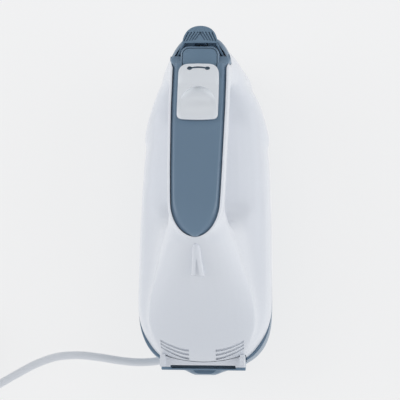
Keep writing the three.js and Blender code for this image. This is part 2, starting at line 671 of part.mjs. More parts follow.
const YOKE_Z = 58.5;
const ejectorYoke = join(
  box(-SPINDLE_X - 2.6, SPINDLE_X + 2.6, SPINDLE_Y - 3, SPINDLE_Y + 3, YOKE_Z, YOKE_Z + 2),
  box(-3.5, 3.5, SPINDLE_Y, 84, YOKE_Z, YOKE_Z + 3),
  box(-3.5, 3.5, 79, 84, YOKE_Z, 93.2),
  box(-3.5, 3.5, 79, 92.4, 89, 93.2),
  ...[-1, 1].map((s) => post(s * SPINDLE_X, SPINDLE_Y, 48, YOKE_Z + 1, 2.4, 12)),
);
add('ejector_yoke', ejectorYoke, ACETAL);

/** Coil spring between two heights, turned as a round wire. */
function coilSpring(x, y, z0, z1, radius, wire, turns) {
  const points = [];
  const steps = turns * 8;
  for (let i = 0; i <= steps; i += 1) {
    const a = 2 * Math.PI * turns * i / steps;
    points.push([x + radius * Math.cos(a), y + radius * Math.sin(a), z0 + wire + (z1 - z0 - 2 * wire) * i / steps]);
  }
  return tube(points, wire, 6, steps);
}
add('ejector_spring', coilSpring(0, 60, 49.3, YOKE_Z - GAP, 3.2, 0.45, 4), STEEL);

// ---------------------------------------------------------------- motor
const WORM_SPAN = [31, 62.5];
const poleHalf = 8;
const boreR = ARMATURE_R + AIR_GAP;
const slotSpace = { x: 21.5, z: 17 };

/** Lamination outline with its bore between the two poles. */
function statorShape() {
  const shape = outline([[-27, -19], [-23, -23], [23, -23], [27, -19], [27, 19], [23, 23], [-23, 23], [-27, 19]]);
  const hole = new THREE.Path();
  const poleZ = Math.sqrt(boreR ** 2 - poleHalf ** 2);
  const start = Math.atan2(poleZ, poleHalf);
  hole.moveTo(slotSpace.x, slotSpace.z);
  hole.lineTo(poleHalf, slotSpace.z);
  hole.lineTo(poleHalf, poleZ);
  hole.absarc(0, 0, boreR, start, Math.PI - start, false);
  hole.lineTo(-poleHalf, slotSpace.z);
  hole.lineTo(-slotSpace.x, slotSpace.z);
  hole.lineTo(-slotSpace.x, -slotSpace.z);
  hole.lineTo(-poleHalf, -slotSpace.z);
  hole.lineTo(-poleHalf, -poleZ);
  hole.absarc(0, 0, boreR, Math.PI + start, 2 * Math.PI - start, false);
  hole.lineTo(poleHalf, -slotSpace.z);
  hole.lineTo(slotSpace.x, -slotSpace.z);
  hole.closePath();
  shape.holes.push(hole);
  return shape;
}
add('stator_core', endPrism(statorShape(), STACK[0], STACK[1], 8).translate([0, 0, MOTOR_Z]), LAMINATION);

/** Winding round one pole: a flat ring with rounded corners. */
function fieldCoil(side) {
  const outer = { x: slotSpace.x - GAP - 0.4, y0: STACK[0] - COIL_OVERHANG, y1: STACK[1] + COIL_OVERHANG };
  const c = 4;
  const shape = outline([[-outer.x + c, outer.y0], [outer.x - c, outer.y0], [outer.x, outer.y0 + c],
    [outer.x, outer.y1 - c], [outer.x - c, outer.y1], [-outer.x + c, outer.y1], [-outer.x, outer.y1 - c],
    [-outer.x, outer.y0 + c]]);
  const inner = new THREE.Path([[-1, 0], [1, 0], [1, 1], [-1, 1]].map(([u, v]) => new THREE.Vector2(
    u * (poleHalf + 0.4), v ? STACK[1] + 0.4 : STACK[0] - 0.4)));
  shape.holes.push(inner);
  const z = side > 0 ? [MOTOR_Z + 11.8, MOTOR_Z + 16.6] : [MOTOR_Z - 16.6, MOTOR_Z - 11.8];
  return slab(shape, ...z);
}
add('field_coil_upper', fieldCoil(1), COPPER);
add('field_coil_lower', fieldCoil(-1), COPPER);

const slots = [];
for (let k = 0; k < ARMATURE_SLOTS; k += 1) {
  const slot = new THREE.BoxGeometry(2, 40, 5);
  slot.translate(0, 0, ARMATURE_R - 0.5);
  slot.rotateY(k * 2 * Math.PI / ARMATURE_SLOTS);
  slot.translate(0, (STACK[0] + STACK[1]) / 2, MOTOR_Z);
  slots.push(solid(slot));
}
const shaftBore = drum(-80, 66, SHAFT_R + GAP, 16);
add('armature_core', drum(STACK[0], STACK[1], ARMATURE_R, 36).subtract(join(...slots)).subtract(shaftBore),
  LAMINATION);
const endTurns = (y0, y1) => drum(y0, y1, 9.6, 24);
add('armature_winding_rear', endTurns(STACK[0] - COIL_OVERHANG, STACK[0] - GAP).subtract(shaftBore), COPPER);
add('armature_winding_front', endTurns(STACK[1] + GAP, STACK[1] + COIL_OVERHANG).subtract(shaftBore), COPPER);
add('motor_shaft', drum(-79, WORM_SPAN[0] - GAP, SHAFT_R, 16), STEEL);
const commutatorSlots = [];
for (let k = 0; k < COMMUTATOR.bars; k += 1) {
  const slot = new THREE.BoxGeometry(0.7, 20, 2.4);
  slot.translate(0, 0, COMMUTATOR.radius);
  slot.rotateY((k + 0.5) * 2 * Math.PI / COMMUTATOR.bars);
  slot.translate(0, (COMMUTATOR.rear + COMMUTATOR.front) / 2, MOTOR_Z);
  commutatorSlots.push(solid(slot));
}
add('commutator', drum(COMMUTATOR.rear, COMMUTATOR.front, COMMUTATOR.radius).subtract(join(...commutatorSlots)).subtract(shaftBore), COPPER);

/** Cooling fan: a hub, a back plate and flat blades. */
function coolingFan() {
  const blades = [];
  for (let k = 0; k < FAN.blades; k += 1) {
    const blade = new THREE.BoxGeometry(1.4, 8, 15);
    blade.rotateY(0.35);
    blade.translate(0, 0, 13.5);
    blade.rotateY(k * 2 * Math.PI / FAN.blades);
    blade.translate(0, FAN.y, MOTOR_Z);
    blades.push(solid(blade));
  }
  return join(drum(FAN.y - 6, FAN.y + 4, FAN.hubR, 18), drum(FAN.y + 2.4, FAN.y + 4, FAN.radius, 36), ...blades)
    .subtract(shaftBore);
}
add('cooling_fan', coolingFan(), BLACK_NYLON);

const threadR = 0.85;
const firstRidge = SPINDLE_Y - LEAD / 4 - LEAD / 2;

/** Worm: a core with one thread wound round it. */
function worm() {
  const perTurn = 9;
  const turns = 4;
  const start = firstRidge - LEAD * (turns / 2 - 1);
  const points = [];
  for (let i = 0; i <= turns * perTurn; i += 1) {
    const a = 2 * Math.PI * i / perTurn;
    points.push([WORM_R * Math.sin(a), start + LEAD * i / perTurn, MOTOR_Z + WORM_R * Math.cos(a)]);
  }
  const thread = solid(tube(points, threadR, 5, turns * perTurn));
  return drum(...WORM_SPAN, WORM_R - threadR + 0.25, 10).add(thread);
}
add('worm', worm(), BRASS);

/** Straight-toothed wheel that the worm turns; phase is the angle of one tooth. */
function wormGear(x, phase) {
  const points = [];
  const tip = GEAR_R + 0.5;
  const root = GEAR_R - 1.2;
  for (let k = 0; k < GEAR_TEETH; k += 1) {
    const a = phase + 2 * Math.PI * k / GEAR_TEETH;
    [[root, -0.75], [tip, -0.35], [tip, 0.35], [root, 0.75]].forEach(([r, half]) => {
      points.push([x + r * Math.cos(a + half / r), SPINDLE_Y + r * Math.sin(a + half / r)]);
    });
  }
  return join(
    slab(outline(points), MOTOR_Z - 2.5, MOTOR_Z + 2.5),
    post(x, SPINDLE_Y, MOTOR_Z - 6, MOTOR_Z + 6, 8.2, 20),
  ).subtract(post(x, SPINDLE_Y, 0, 70, SPINDLE_R + GAP));
}
add('worm_gear_right', wormGear(SPINDLE_X, Math.PI), ACETAL);
add('worm_gear_left', wormGear(-SPINDLE_X, Math.PI / GEAR_TEETH), ACETAL);

const PLATE_LOW = [12, 15];
const PLATE_HIGH = [46.5, 49];
for (const side of [-1, 1]) {
  const name = side < 0 ? 'left' : 'right';
  const x = side * SPINDLE_X;
  const socket = post(x, SPINDLE_Y, 1, 55, SPINDLE_R)
    .subtract(post(x, SPINDLE_Y, 0, 60, SOCKET_R))
    .subtract(box(x - 0.9, x + 0.9, SPINDLE_Y - 8, SPINDLE_Y + 8, 0, 8));
  add(`spindle_${name}`, socket, STEEL);
  const bush = (z0, z1) => post(x, SPINDLE_Y, z0, z1, BUSH_R, 20).subtract(post(x, SPINDLE_Y, 0, 70, SPINDLE_R + GAP));
  add(`bush_lower_${name}`, bush(PLATE_LOW[0] - 1, PLATE_LOW[1] + 1), BRONZE);
  add(`bush_upper_${name}`, bush(PLATE_HIGH[0] - 1.5, PLATE_HIGH[1] + 1.5), BRONZE);
}

const bushHoles = join(...[-1, 1].map((s) => post(s * SPINDLE_X, SPINDLE_Y, 5, 60, BUSH_R + GAP, 20)));
const gearFrame = join(
  box(-27.5, 27.5, 25, 50, ...PLATE_LOW),
  box(-24, 24, 49, 56.2, ...PLATE_LOW),
  box(-8, 8, 56, 66, ...PLATE_LOW),
  box(-27.5, 27.5, 25, 58, ...PLATE_HIGH),
  box(-24, 24, 57, 66, ...PLATE_HIGH),
  box(-26, 26, 22, 26, PLATE_LOW[0], PLATE_HIGH[1]),
  box(-4, 4, 63, 66, PLATE_LOW[0], PLATE_HIGH[1]),
).subtract(bushHoles).subtract(drum(10, 30, BEARING_R + GAP, 20));
add('gear_frame', gearFrame, FRAME_ALLOY);
const bearing = (y0, y1) => drum(y0, y1, BEARING_R, 20).subtract(drum(-90, 90, SHAFT_R + 0.25, 16));
add('front_bearing', bearing(21.5, 26.5), BRONZE);
add('rear_bearing', bearing(-59.5, -53.5), BRONZE);
const motorBracket = join(
  box(-30, 30, -58, -55, MOTOR_Z - 7, MOTOR_Z + 7),
  box(-9, 9, -58, -55, MOTOR_Z - 20, MOTOR_Z + 20),
  box(-30, -27.5, -58, -33.5, MOTOR_Z - 7, MOTOR_Z + 7),
  box(27.5, 30, -58, -33.5, MOTOR_Z - 7, MOTOR_Z + 7),
).subtract(drum(-70, -50, BEARING_R + GAP, 20));
add('motor_bracket', motorBracket, FRAME_ALLOY);
for (const side of [-1, 1]) {
  const name = side < 0 ? 'left' : 'right';
  const at = (near, far) => (side > 0 ? [near, far] : [-far, -near]);
  const brush = box(...at(8.9, 21), -44, -38, MOTOR_Z - 3.5, MOTOR_Z + 3.5);
  const holder = box(...at(11, 25), -46, -36, MOTOR_Z - 5.5, MOTOR_Z + 5.5)
    .subtract(box(...at(10, 23), -44 - GAP, -38 + GAP, MOTOR_Z - 3.5 - GAP, MOTOR_Z + 3.5 + GAP));
  add(`carbon_brush_${name}`, brush, CARBON);
  add(`brush_holder_${name}`, holder, BRASS);
}
const board = join(
  box(31.5, 33, -48, 6, 17, 50),
  box(28.4, 31.6, -8, 4, 40, 48),
  crossbar(23.5, 31.6, -43, 22, 4.5, 12),
);
add('control_board', board, BOARD);

// ---------------------------------------------------------------- mains cord
const LEAD_ROUTE = [[-30.5, -98.75, 3.4], [-38, -99.6, 2.7], [-48, -99.9, 2.7], [-60, -98.8, 2.7],
  [-72, -97, 2.7], [-86, -95.8, 2.7], [-100, -97, 2.7], [-113, -101.5, 2.7], [-127, -109, 2.7],
  [-141, -117, 2.7], [-156, -123.2, 2.7]];
const coilTop = COIL.lift + 2 * CORD_R * COIL.layers;
const coilBand = COIL.turnsWide * CORD_R;

/** Tapered round piece through points, with one radius for each point. */
function tapered(points, radii, sides, steps) {
  const path = new THREE.CatmullRomCurve3(points.map((p) => new THREE.Vector3(...p)));
  const frames = path.computeFrenetFrames(steps, false);
  const radiusAt = through(radii.map((r, i) => [i / (radii.length - 1), r]));
  const position = [];
  const index = [];
  for (let k = 0; k <= steps; k += 1) {
    const centre = path.getPointAt(k / steps);
    for (let i = 0; i < sides; i += 1) {
      const a = 2 * Math.PI * i / sides;
      const spoke = frames.normals[k].clone().multiplyScalar(Math.cos(a))
        .addScaledVector(frames.binormals[k], Math.sin(a));
      position.push(...centre.clone().addScaledVector(spoke, radiusAt(k / steps)).toArray());
    }
  }
  for (let k = 0; k < steps; k += 1) {
    for (let i = 0; i < sides; i += 1) {
      const a = k * sides + i;
      const b = k * sides + (i + 1) % sides;
      index.push(a, b, a + sides, b, b + sides, a + sides);
    }
  }
  [0, steps].forEach((k) => {
    const hub = position.length / 3;
    position.push(...path.getPointAt(k / steps).toArray());
    for (let i = 0; i < sides; i += 1) {
      const a = k * sides + i;
      const b = k * sides + (i + 1) % sides;
      index.push(...(k === 0 ? [hub, b, a] : [hub, a, b]));
    }
  });
  const geometry = new THREE.BufferGeometry();
  geometry.setAttribute('position', new THREE.Float32BufferAttribute(position, 3));
  geometry.setIndex(index);
  return geometry;
}
add('strain_relief', tapered(RELIEF, [4.4, 4.2, 3.8, 3.2], 12, 12), WHITE_PVC);
add('mains_cord', tube(LEAD_ROUTE, CORD_R, 10, 24), WHITE_PVC);

const ring = new THREE.LatheGeometry([
  [COIL.meanRadius - coilBand, COIL.lift + 2], [COIL.meanRadius - coilBand + 2, COIL.lift],
  [COIL.meanRadius + coilBand - 2, COIL.lift], [COIL.meanRadius + coilBand, COIL.lift + 2],
  [COIL.meanRadius + coilBand, coilTop - 2], [COIL.meanRadius + coilBand - 2, coilTop],
  [COIL.meanRadius - coilBand + 2, coilTop], [COIL.meanRadius - coilBand, coilTop - 2],
  [COIL.meanRadius - coilBand, COIL.lift + 2],
].map(([r, z]) => new THREE.Vector2(r, z)), 36);
ring.rotateX(Math.PI / 2);
add('cord_coil', solid(ring).translate([COIL.x, COIL.y, 0]), WHITE_PVC);

const tieY = COIL.y + COIL.meanRadius;
const tieBand = coilBand + 0.4;
const tie = box(COIL.x - 2.5, COIL.x + 2.5, tieY - tieBand - 0.7, tieY + tieBand + 0.7, 0, coilTop + 1.1)
  .subtract(box(COIL.x - 4, COIL.x + 4, tieY - tieBand, tieY + tieBand, 0.7, coilTop + 0.4));
add('cord_tie', tie, BLACK_NYLON);

// The last stretch climbs off the coil, turns in over it and ends in the plug, which lies on the coil.
const plugAxis = { y: COIL.y - 12, z: coilTop + 7.4 };
const plugRear = COIL.x + 6.5;
const TAIL_ROUTE = [[-152.8, -78.6, 14.4], [-150.3, -84.5, 15.7], [-151.6, -91, 16.8], [-156.2, -97.8, 17.8],
  [-163.8, -102.6, 18.5], [plugRear + 2 * GAP, plugAxis.y, plugAxis.z]];
add('cord_tail', tube(TAIL_ROUTE, CORD_R, 10, 10), WHITE_PVC);
const plugPlan = [[0, 4.6], [10, 5.6], [12, 9], [24, 16.2], [29, 17.4], [36, 17.4]];
const plugEdge = plugPlan.map(([d, half]) => [plugRear - d, plugAxis.y + half]);
const plugBack = plugPlan.map(([d, half]) => [plugRear - d, plugAxis.y - half]).reverse();
add('plug_body', slab(outline([...plugEdge, ...plugBack]), plugAxis.z - 6.6, plugAxis.z + 6.6), WHITE_PVC);
for (const side of [-1, 1]) {
  const front = plugRear - 36 - GAP;
  const pin = crossbar(front - 18.7, front, plugAxis.y + side * 9.3, plugAxis.z, 2, 12);
  add(`plug_pin_${side < 0 ? 'left' : 'right'}`, pin, BRASS);
}

export default mixer;
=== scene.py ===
"""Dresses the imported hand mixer: moulded shells, controls, mains lead, studio light and camera."""

import json
import logging
import math
from dataclasses import dataclass
from enum import Enum
from typing import Callable, ClassVar, Iterable, Sequence

import bmesh
import bpy
import numpy as np
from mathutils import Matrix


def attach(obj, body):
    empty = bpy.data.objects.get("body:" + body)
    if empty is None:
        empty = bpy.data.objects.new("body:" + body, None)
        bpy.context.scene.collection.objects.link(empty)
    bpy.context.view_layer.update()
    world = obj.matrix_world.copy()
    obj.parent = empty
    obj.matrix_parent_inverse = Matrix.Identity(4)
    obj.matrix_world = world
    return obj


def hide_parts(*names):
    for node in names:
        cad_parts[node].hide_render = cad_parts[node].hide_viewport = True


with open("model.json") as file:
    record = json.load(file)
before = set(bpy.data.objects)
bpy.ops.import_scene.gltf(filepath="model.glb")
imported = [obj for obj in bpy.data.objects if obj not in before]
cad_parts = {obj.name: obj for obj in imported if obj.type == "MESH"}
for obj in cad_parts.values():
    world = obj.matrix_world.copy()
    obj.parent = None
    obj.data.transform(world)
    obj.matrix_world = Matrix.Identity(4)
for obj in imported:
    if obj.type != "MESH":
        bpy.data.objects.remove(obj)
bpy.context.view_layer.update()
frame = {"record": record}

import openvdb
from mathutils import Matrix, Vector

MM = 0.001
HINGE = (85.5, 102.0)  # y and z of the lever's pin
LOG = logging.getLogger("mixer")
Point = tuple[float, float, float]
Profile = Callable[[float], float]
Ring = list[tuple[float, float]]


# ------------------------------------------------------------------ small tools
def through(points: Sequence[tuple[float, float]]) -> Profile:
    """Smooth function of one variable that never overshoots its few points.

    Args:
        points: (place, value) pairs in rising order of place.

    Returns:
        A function of the place.
    """
    places = [p[0] for p in points]
    values = [p[1] for p in points]
    chords = [(values[i + 1] - values[i]) / (places[i + 1] - places[i]) for i in range(len(points) - 1)]
    slopes = [chords[0], *(0.0 if a * b <= 0 else 2 * a * b / (a + b) for a, b in zip(chords, chords[1:])),
              chords[-1]]

    def value(place: float) -> float:
        """Cubic Hermite value at the place."""
        i = min(max(int(np.searchsorted(places, place)) - 1, 0), len(chords) - 1)
        span = places[i + 1] - places[i]
        t = min(max((place - places[i]) / span, 0.0), 1.0)
        rise = t * t * (3 - 2 * t)
        bend = slopes[i] * t * (1 - t) ** 2 - slopes[i + 1] * t * t * (1 - t)
        return values[i] * (1 - rise) + values[i + 1] * rise + span * bend

    return value


def bend(start: Sequence[float], control: Sequence[float], end: Sequence[float], steps: int) -> Ring:
    """Points of a quadratic curve, without its last one."""
    ts = [i / steps for i in range(steps)]
    return [tuple((1 - t) ** 2 * a + 2 * t * (1 - t) * c + t * t * b for a, c, b in zip(start, control, end))
            for t in ts]


def mirrored(half: Ring) -> Ring:
    """Closed ring from a right-hand half outline that starts and ends on x = 0."""
    return half + [(-x, z) for x, z in reversed(half[1:-1])]


def steps_between(start: float, end: float, pitch: float) -> list[float]:
    """Even places from start to end, about a pitch apart."""
    count = max(1, round(abs(end - start) / pitch))
    return [start + (end - start) * i / count for i in range(count + 1)]


def new_object(name: str, mesh: bpy.types.Mesh) -> bpy.types.Object:
    """Object at the origin that holds the mesh."""
    made = bpy.data.objects.new(name, mesh)
    bpy.context.scene.collection.objects.link(made)
    return made


def from_points(name: str, points: Iterable[Point], faces: Iterable[Sequence[int]]) -> bpy.types.Object:
    """Mesh object from points in millimetres."""
    mesh = bpy.data.meshes.new(name)
    mesh.from_pydata([tuple(c * MM for c in p) for p in points], [], list(faces))
    mesh.validate()
    return new_object(name, mesh)


def loft(name: str, rings: Sequence[tuple[float, Ring]]) -> bpy.types.Object:
    """Closed skin through rings of (x, z) points that stand at rising y places."""
    n = len(rings[0][1])
    points = [(x, y, z) for y, ring in rings for x, z in ring]
    faces: list[Sequence[int]] = []
    for k in range(len(rings) - 1):
        for i in range(n):
            j = (i + 1) % n
            faces.append((k * n + i, k * n + j, (k + 1) * n + j, (k + 1) * n + i))
    faces.append(tuple(reversed(range(n))))
    faces.append(tuple((len(rings) - 1) * n + i for i in range(n)))
    made = from_points(name, points, faces)
    outward(made)
    return made


def prism(name: str, outline: Sequence[tuple[float, float]], low: float, high: float) -> bpy.types.Object:
    """Upright prism of a plan outline between two heights."""
    n = len(outline)
    points = [(x, y, low) for x, y in outline] + [(x, y, high) for x, y in outline]
    faces: list[Sequence[int]] = [(i, (i + 1) % n, n + (i + 1) % n, n + i) for i in range(n)]
    faces.append(tuple(reversed(range(n))))
    faces.append(tuple(range(n, 2 * n)))
    made = from_points(name, points, faces)
    outward(made)
    return made


def block(x: tuple[float, float], y: tuple[float, float], z: tuple[float, float]) -> bpy.types.Object:
    """Plain block between three pairs of places."""
    return prism("block", [(x[0], y[0]), (x[1], y[0]), (x[1], y[1]), (x[0], y[1])], z[0], z[1])


def disc(x: float, y: float, radius: float, sides: int, tall: float | None = None) -> Ring:
    """Round outline about a point, or an oval one where its second radius is given."""
    turns = (2 * math.pi * i / sides for i in range(sides))
    return [(x + radius * math.cos(a), y + (tall or radius) * math.sin(a)) for a in turns]


def crosswise(piece: bpy.types.Object) -> bpy.types.Object:
    """Lays an upright prism along x, so that its plan becomes a side view in (y, z)."""
    piece.data.transform(Matrix(((0, 0, 1, 0), (1, 0, 0, 0), (0, 1, 0, 0), (0, 0, 0, 1))))
    outward(piece)
    return piece


def outward(piece: bpy.types.Object) -> None:
    """Merges doubles and points every face of a closed mesh outwards."""
    mesh = bmesh.new()
    mesh.from_mesh(piece.data)
    bmesh.ops.remove_doubles(mesh, verts=mesh.verts, dist=0.002 * MM)
    bmesh.ops.recalc_face_normals(mesh, faces=mesh.faces)
    mesh.to_mesh(piece.data)
    mesh.free()


def settle(piece: bpy.types.Object) -> bpy.types.Object:
    """Turns a piece's modifiers into plain mesh and removes them."""
    graph = bpy.context.evaluated_depsgraph_get()
    done = bpy.data.meshes.new_from_object(piece.evaluated_get(graph))
    old = piece.data
    piece.modifiers.clear()
    piece.data = done
    bpy.data.meshes.remove(old)
    return piece


def carve(piece: bpy.types.Object, *tools: bpy.types.Object, how: str = "DIFFERENCE") -> bpy.types.Object:
    """Cuts, joins or trims a piece with other closed meshes, which are then removed."""
    for tool in tools:
        change = piece.modifiers.new("carve", "BOOLEAN")
        change.operation = how
        change.solver = "MANIFOLD"
        change.object = tool
    settle(piece)
    for tool in tools:
        bpy.data.objects.remove(tool)
    return piece


def soften(piece: bpy.types.Object, radius: float, segments: int = 3,
           angle: float = 35.0) -> bpy.types.Object:
    """Rounds a piece's sharp edges by a radius in millimetres."""
    change = piece.modifiers.new("edge", "BEVEL")
    change.width = radius * MM
    change.segments = segments
    change.limit_method = "ANGLE"
    change.angle_limit = math.radians(angle)
    change.use_clamp_overlap = True
    return settle(piece)


def polish(piece: bpy.types.Object, angle: float = 40.0) -> bpy.types.Object:
    """Shades a piece smooth, with creases kept above the angle."""
    piece.data.shade_smooth()
    piece.data.set_sharp_from_angle(angle=math.radians(angle))
    return piece


def wear(piece: bpy.types.Object, material: bpy.types.Material) -> None:
    """Gives a whole piece one material."""
    piece.data.materials.clear()
    piece.data.materials.append(material)
    piece.data.polygons.foreach_set("material_index", [0] * len(piece.data.polygons))


def present(piece: bpy.types.Object, body: str, slot: str, *nodes: str) -> None:
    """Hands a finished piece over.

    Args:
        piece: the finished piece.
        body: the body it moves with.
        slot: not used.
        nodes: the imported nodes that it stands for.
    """
    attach(piece, body)
    if nodes:
        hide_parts(*nodes)


def linear(colour: str) -> tuple[float, float, float, float]:
    """Linear RGBA of an sRGB hex colour such as #8090a0."""
    parts = [int(colour[i:i + 2], 16) / 255 for i in (1, 3, 5)]
    return (*(p / 12.92 if p <= 0.04045 else ((p + 0.055) / 1.055) ** 2.4 for p in parts), 1.0)


def add_node(tree: bpy.types.NodeTree, kind: str, inputs: dict | None = None,
             **settings: object) -> bpy.types.Node:
    """Adds a node with its settings and fills its inputs.

    Args:
        tree: the node tree.
        kind: the node's type name.
        inputs: input name or index to a value, or to an output socket to link.
        settings: the node's own properties.

    Returns:
        The new node.
    """
    made = tree.nodes.new(kind)
    for key, value in settings.items():
        setattr(made, key, value)
    for key, value in (inputs or {}).items():
        if isinstance(value, bpy.types.NodeSocket):
            tree.links.new(value, made.inputs[key])
        else:
            made.inputs[key].default_value = value
    return made


# ------------------------------------------------------------------ finishes
def bare_material(name: str) -> tuple[bpy.types.Material, bpy.types.NodeTree, bpy.types.NodeSocket]:
    """New material with an empty tree, and the socket of its Object coordinates."""
    material = bpy.data.materials.new(name)
    material.use_nodes = True
    tree = material.node_tree
    tree.nodes.clear()
    return material, tree, add_node(tree, "ShaderNodeTexCoord").outputs["Object"]


def cover_surface(tree: bpy.types.NodeTree, mix: bpy.types.NodeSocket, colours: tuple[str, str],
                  relief: tuple[bpy.types.NodeSocket, float, float], inputs: dict) -> None:
    """Ends a material's tree.

    Args:
        tree: the material's tree.
        mix: pattern that mixes the two colours.
        colours: sRGB hex colours where the pattern is 0 and 1.
        relief: height pattern, bump strength and bump depth in millimetres.
        inputs: the other inputs of the surface.
    """
    colour = add_node(tree, "ShaderNodeMix", {
        "Factor": mix, "A": linear(colours[0]), "B": linear(colours[1])}, data_type="RGBA")
    height, strength, depth = relief
    bump = add_node(tree, "ShaderNodeBump", {"Height": height, "Strength": strength, "Distance": depth * MM})
    shader = add_node(tree, "ShaderNodeBsdfPrincipled", {
        "Base Color": colour.outputs["Result"], "Normal": bump.outputs["Normal"], **inputs})
    add_node(tree, "ShaderNodeOutputMaterial", {"Surface": shader.outputs["BSDF"]})


@dataclass(frozen=True)
class Moulded:
    """Moulded plastic: fine spark-eroded grain breaks its gloss, with faint long waves from cooling.

    Sizes are in millimetres. Grain is the texture's spacing, drawn coarser than the real 0.05 mm so that it
    shows, and drift is the length of the cooling waves.
    """

    name: str
    colour: str
    shade: str
    roughness: float
    grain: float = 0.45
    depth: float = 0.012
    ior: float = 1.53
    coat: float = 0.0
    coat_roughness: float = 0.12
    drift: float = 60.0

    def make(self) -> bpy.types.Material:
        """Builds the material."""
        material, tree, place = bare_material(self.name)
        drift = add_node(tree, "ShaderNodeTexNoise",
                         {"Vector": place, "Scale": 1 / (self.drift * MM), "Detail": 2.0, "Roughness": 0.5})
        fleck = add_node(tree, "ShaderNodeTexNoise",
                         {"Vector": place, "Scale": 1 / (self.grain * MM), "Detail": 2.0, "Roughness": 0.6})
        sheen = add_node(tree, "ShaderNodeMapRange", {
            "Value": fleck.outputs["Fac"], "From Min": 0.3, "From Max": 0.7,
            "To Min": self.roughness - 0.04, "To Max": self.roughness + 0.05})
        relief = (fleck.outputs["Fac"], 0.35, self.depth)
        cover_surface(tree, drift.outputs["Fac"], (self.colour, self.shade), relief, {
            "Roughness": sheen.outputs["Result"], "IOR": self.ior, "Coat Weight": self.coat,
            "Coat Roughness": self.coat_roughness})
        return material


@dataclass(frozen=True)
class Metal:
    """Bare metal: machining lines along one axis give a soft directional streak."""

    name: str
    colour: str
    shade: str
    roughness: float
    line: float = 3.6
    depth: float = 0.02
    stretch: Point = (1.0, 1.0, 12.0)

    def make(self) -> bpy.types.Material:
        """Builds the material."""
        material, tree, place = bare_material(self.name)
        turned = add_node(tree, "ShaderNodeMapping", {"Vector": place, "Scale": self.stretch})
        lines = add_node(tree, "ShaderNodeTexNoise",
                         {"Vector": turned.outputs["Vector"], "Scale": 1 / (self.line * MM), "Detail": 3.0})
        sheen = add_node(tree, "ShaderNodeMapRange", {
            "Value": lines.outputs["Fac"], "To Min": self.roughness - 0.08, "To Max": self.roughness + 0.08})
        relief = (lines.outputs["Fac"], 0.3, self.depth)
        cover_surface(tree, lines.outputs["Fac"], (self.colour, self.shade), relief, {
            "Roughness": sheen.outputs["Result"], "Metallic": 1.0})
        return material


@dataclass(frozen=True)
class Banded:
    """Stack or winding: fine parallel bands, such as laminations or enamelled wire, a band width apart."""

    name: str
    colour: str
    shade: str
    roughness: float
    band: float
    metallic: float
    axis: str = "Y"
    depth: float = 0.1

    def make(self) -> bpy.types.Material:
        """Builds the material."""
        material, tree, place = bare_material(self.name)
        # a wave texture of scale 1 repeats every 0.314 of its coordinates
        bands = add_node(tree, "ShaderNodeTexWave",
                         {"Vector": place, "Scale": 0.314 / (self.band * MM), "Distortion": 0.4,
                          "Detail": 1.0},
                         wave_type="BANDS", bands_direction=self.axis)
        relief = (bands.outputs["Fac"], 0.6, self.depth)
        cover_surface(tree, bands.outputs["Fac"], (self.shade, self.colour), relief, {
            "Roughness": self.roughness, "Metallic": self.metallic})
        return material


class Finish(Enum):
    """The mixer's finishes."""

    # housings and heel: clean cool white whose soft gloss rounds off every edge
    WHITE_ABS = Moulded("white_abs_glossy_moulded", "#edeff3", "#e9ecf1", 0.3, coat=0.2)
    # slider: a shade brighter and smoother, so that the thumb hollow reads by its sheen
    WHITE_SLIDER = Moulded("white_abs_polished_moulded", "#f7f9fb", "#f3f6f8", 0.22, coat=0.3)
    # inlay, cap and lower housing: satin blue-grey that sets off the white
    BLUE_GREY_ABS = Moulded("blue_grey_abs_satin_moulded", "#778fa4", "#738ba0", 0.32, coat=0.12)
    # panel and tongue: the same plastic, dulled by a coarse spark-eroded grain
    BLUE_GREY_GRAINED = Moulded("blue_grey_abs_eroded_grain", "#7690a6", "#6b859a", 0.5, grain=0.7, depth=0.1)
    # lead, relief and plug: soft matt white with hardly a highlight
    WHITE_PVC = Moulded("white_pvc_extruded", "#eff1f3", "#e8eaee", 0.45, grain=0.8, depth=0.02)
    # gears and collars: waxy off-white
    ACETAL = Moulded("pom_natural_moulded", "#e9e5da", "#e2ddcf", 0.4)
    # fan, switch and tie: plain matt black
    BLACK_NYLON = Moulded("pa66_black_moulded", "#26282b", "#1f2124", 0.55)
    # control board: dry yellow-brown
    PAPER_BOARD = Moulded("paper_laminate_board", "#b59a5e", "#a98c50", 0.6)
    # brushes: dusty near-black
    CARBON = Moulded("pressed_carbon_brush", "#2b2b2d", "#232325", 0.65)
    # screws, pins and spindles: fine grinding lines with a cool glint
    STEEL = Metal("ground_steel", "#b6babf", "#9ea2a8", 0.32)
    # plug pins, worm and brush holders: warm turned lustre
    BRASS = Metal("turned_brass", "#cda856", "#b8944a", 0.35)
    # bushes: dull porous brown metal
    BRONZE = Metal("sintered_bronze", "#a9834a", "#93703d", 0.5)
    # gear frame and bracket: grey cast metal, rougher than the steel
    ALLOY = Metal("die_cast_aluminium", "#b9bcc0", "#a4a8ad", 0.48)
    # windings: rows of lacquered orange-brown wire
    COPPER = Banded("enamelled_copper_winding", "#b5673a", "#7d4223", 0.35, 0.5, 0.9, "Z")
    # stator and armature: edges of thin varnished sheets
    LAMINATION = Banded("varnished_lamination_stack", "#7b7e84", "#54575c", 0.45, 0.5, 0.8, "Y")

    def material(self) -> bpy.types.Material:
        """The finish's material, made once."""
        return bpy.data.materials.get(self.value.name) or self.value.make()


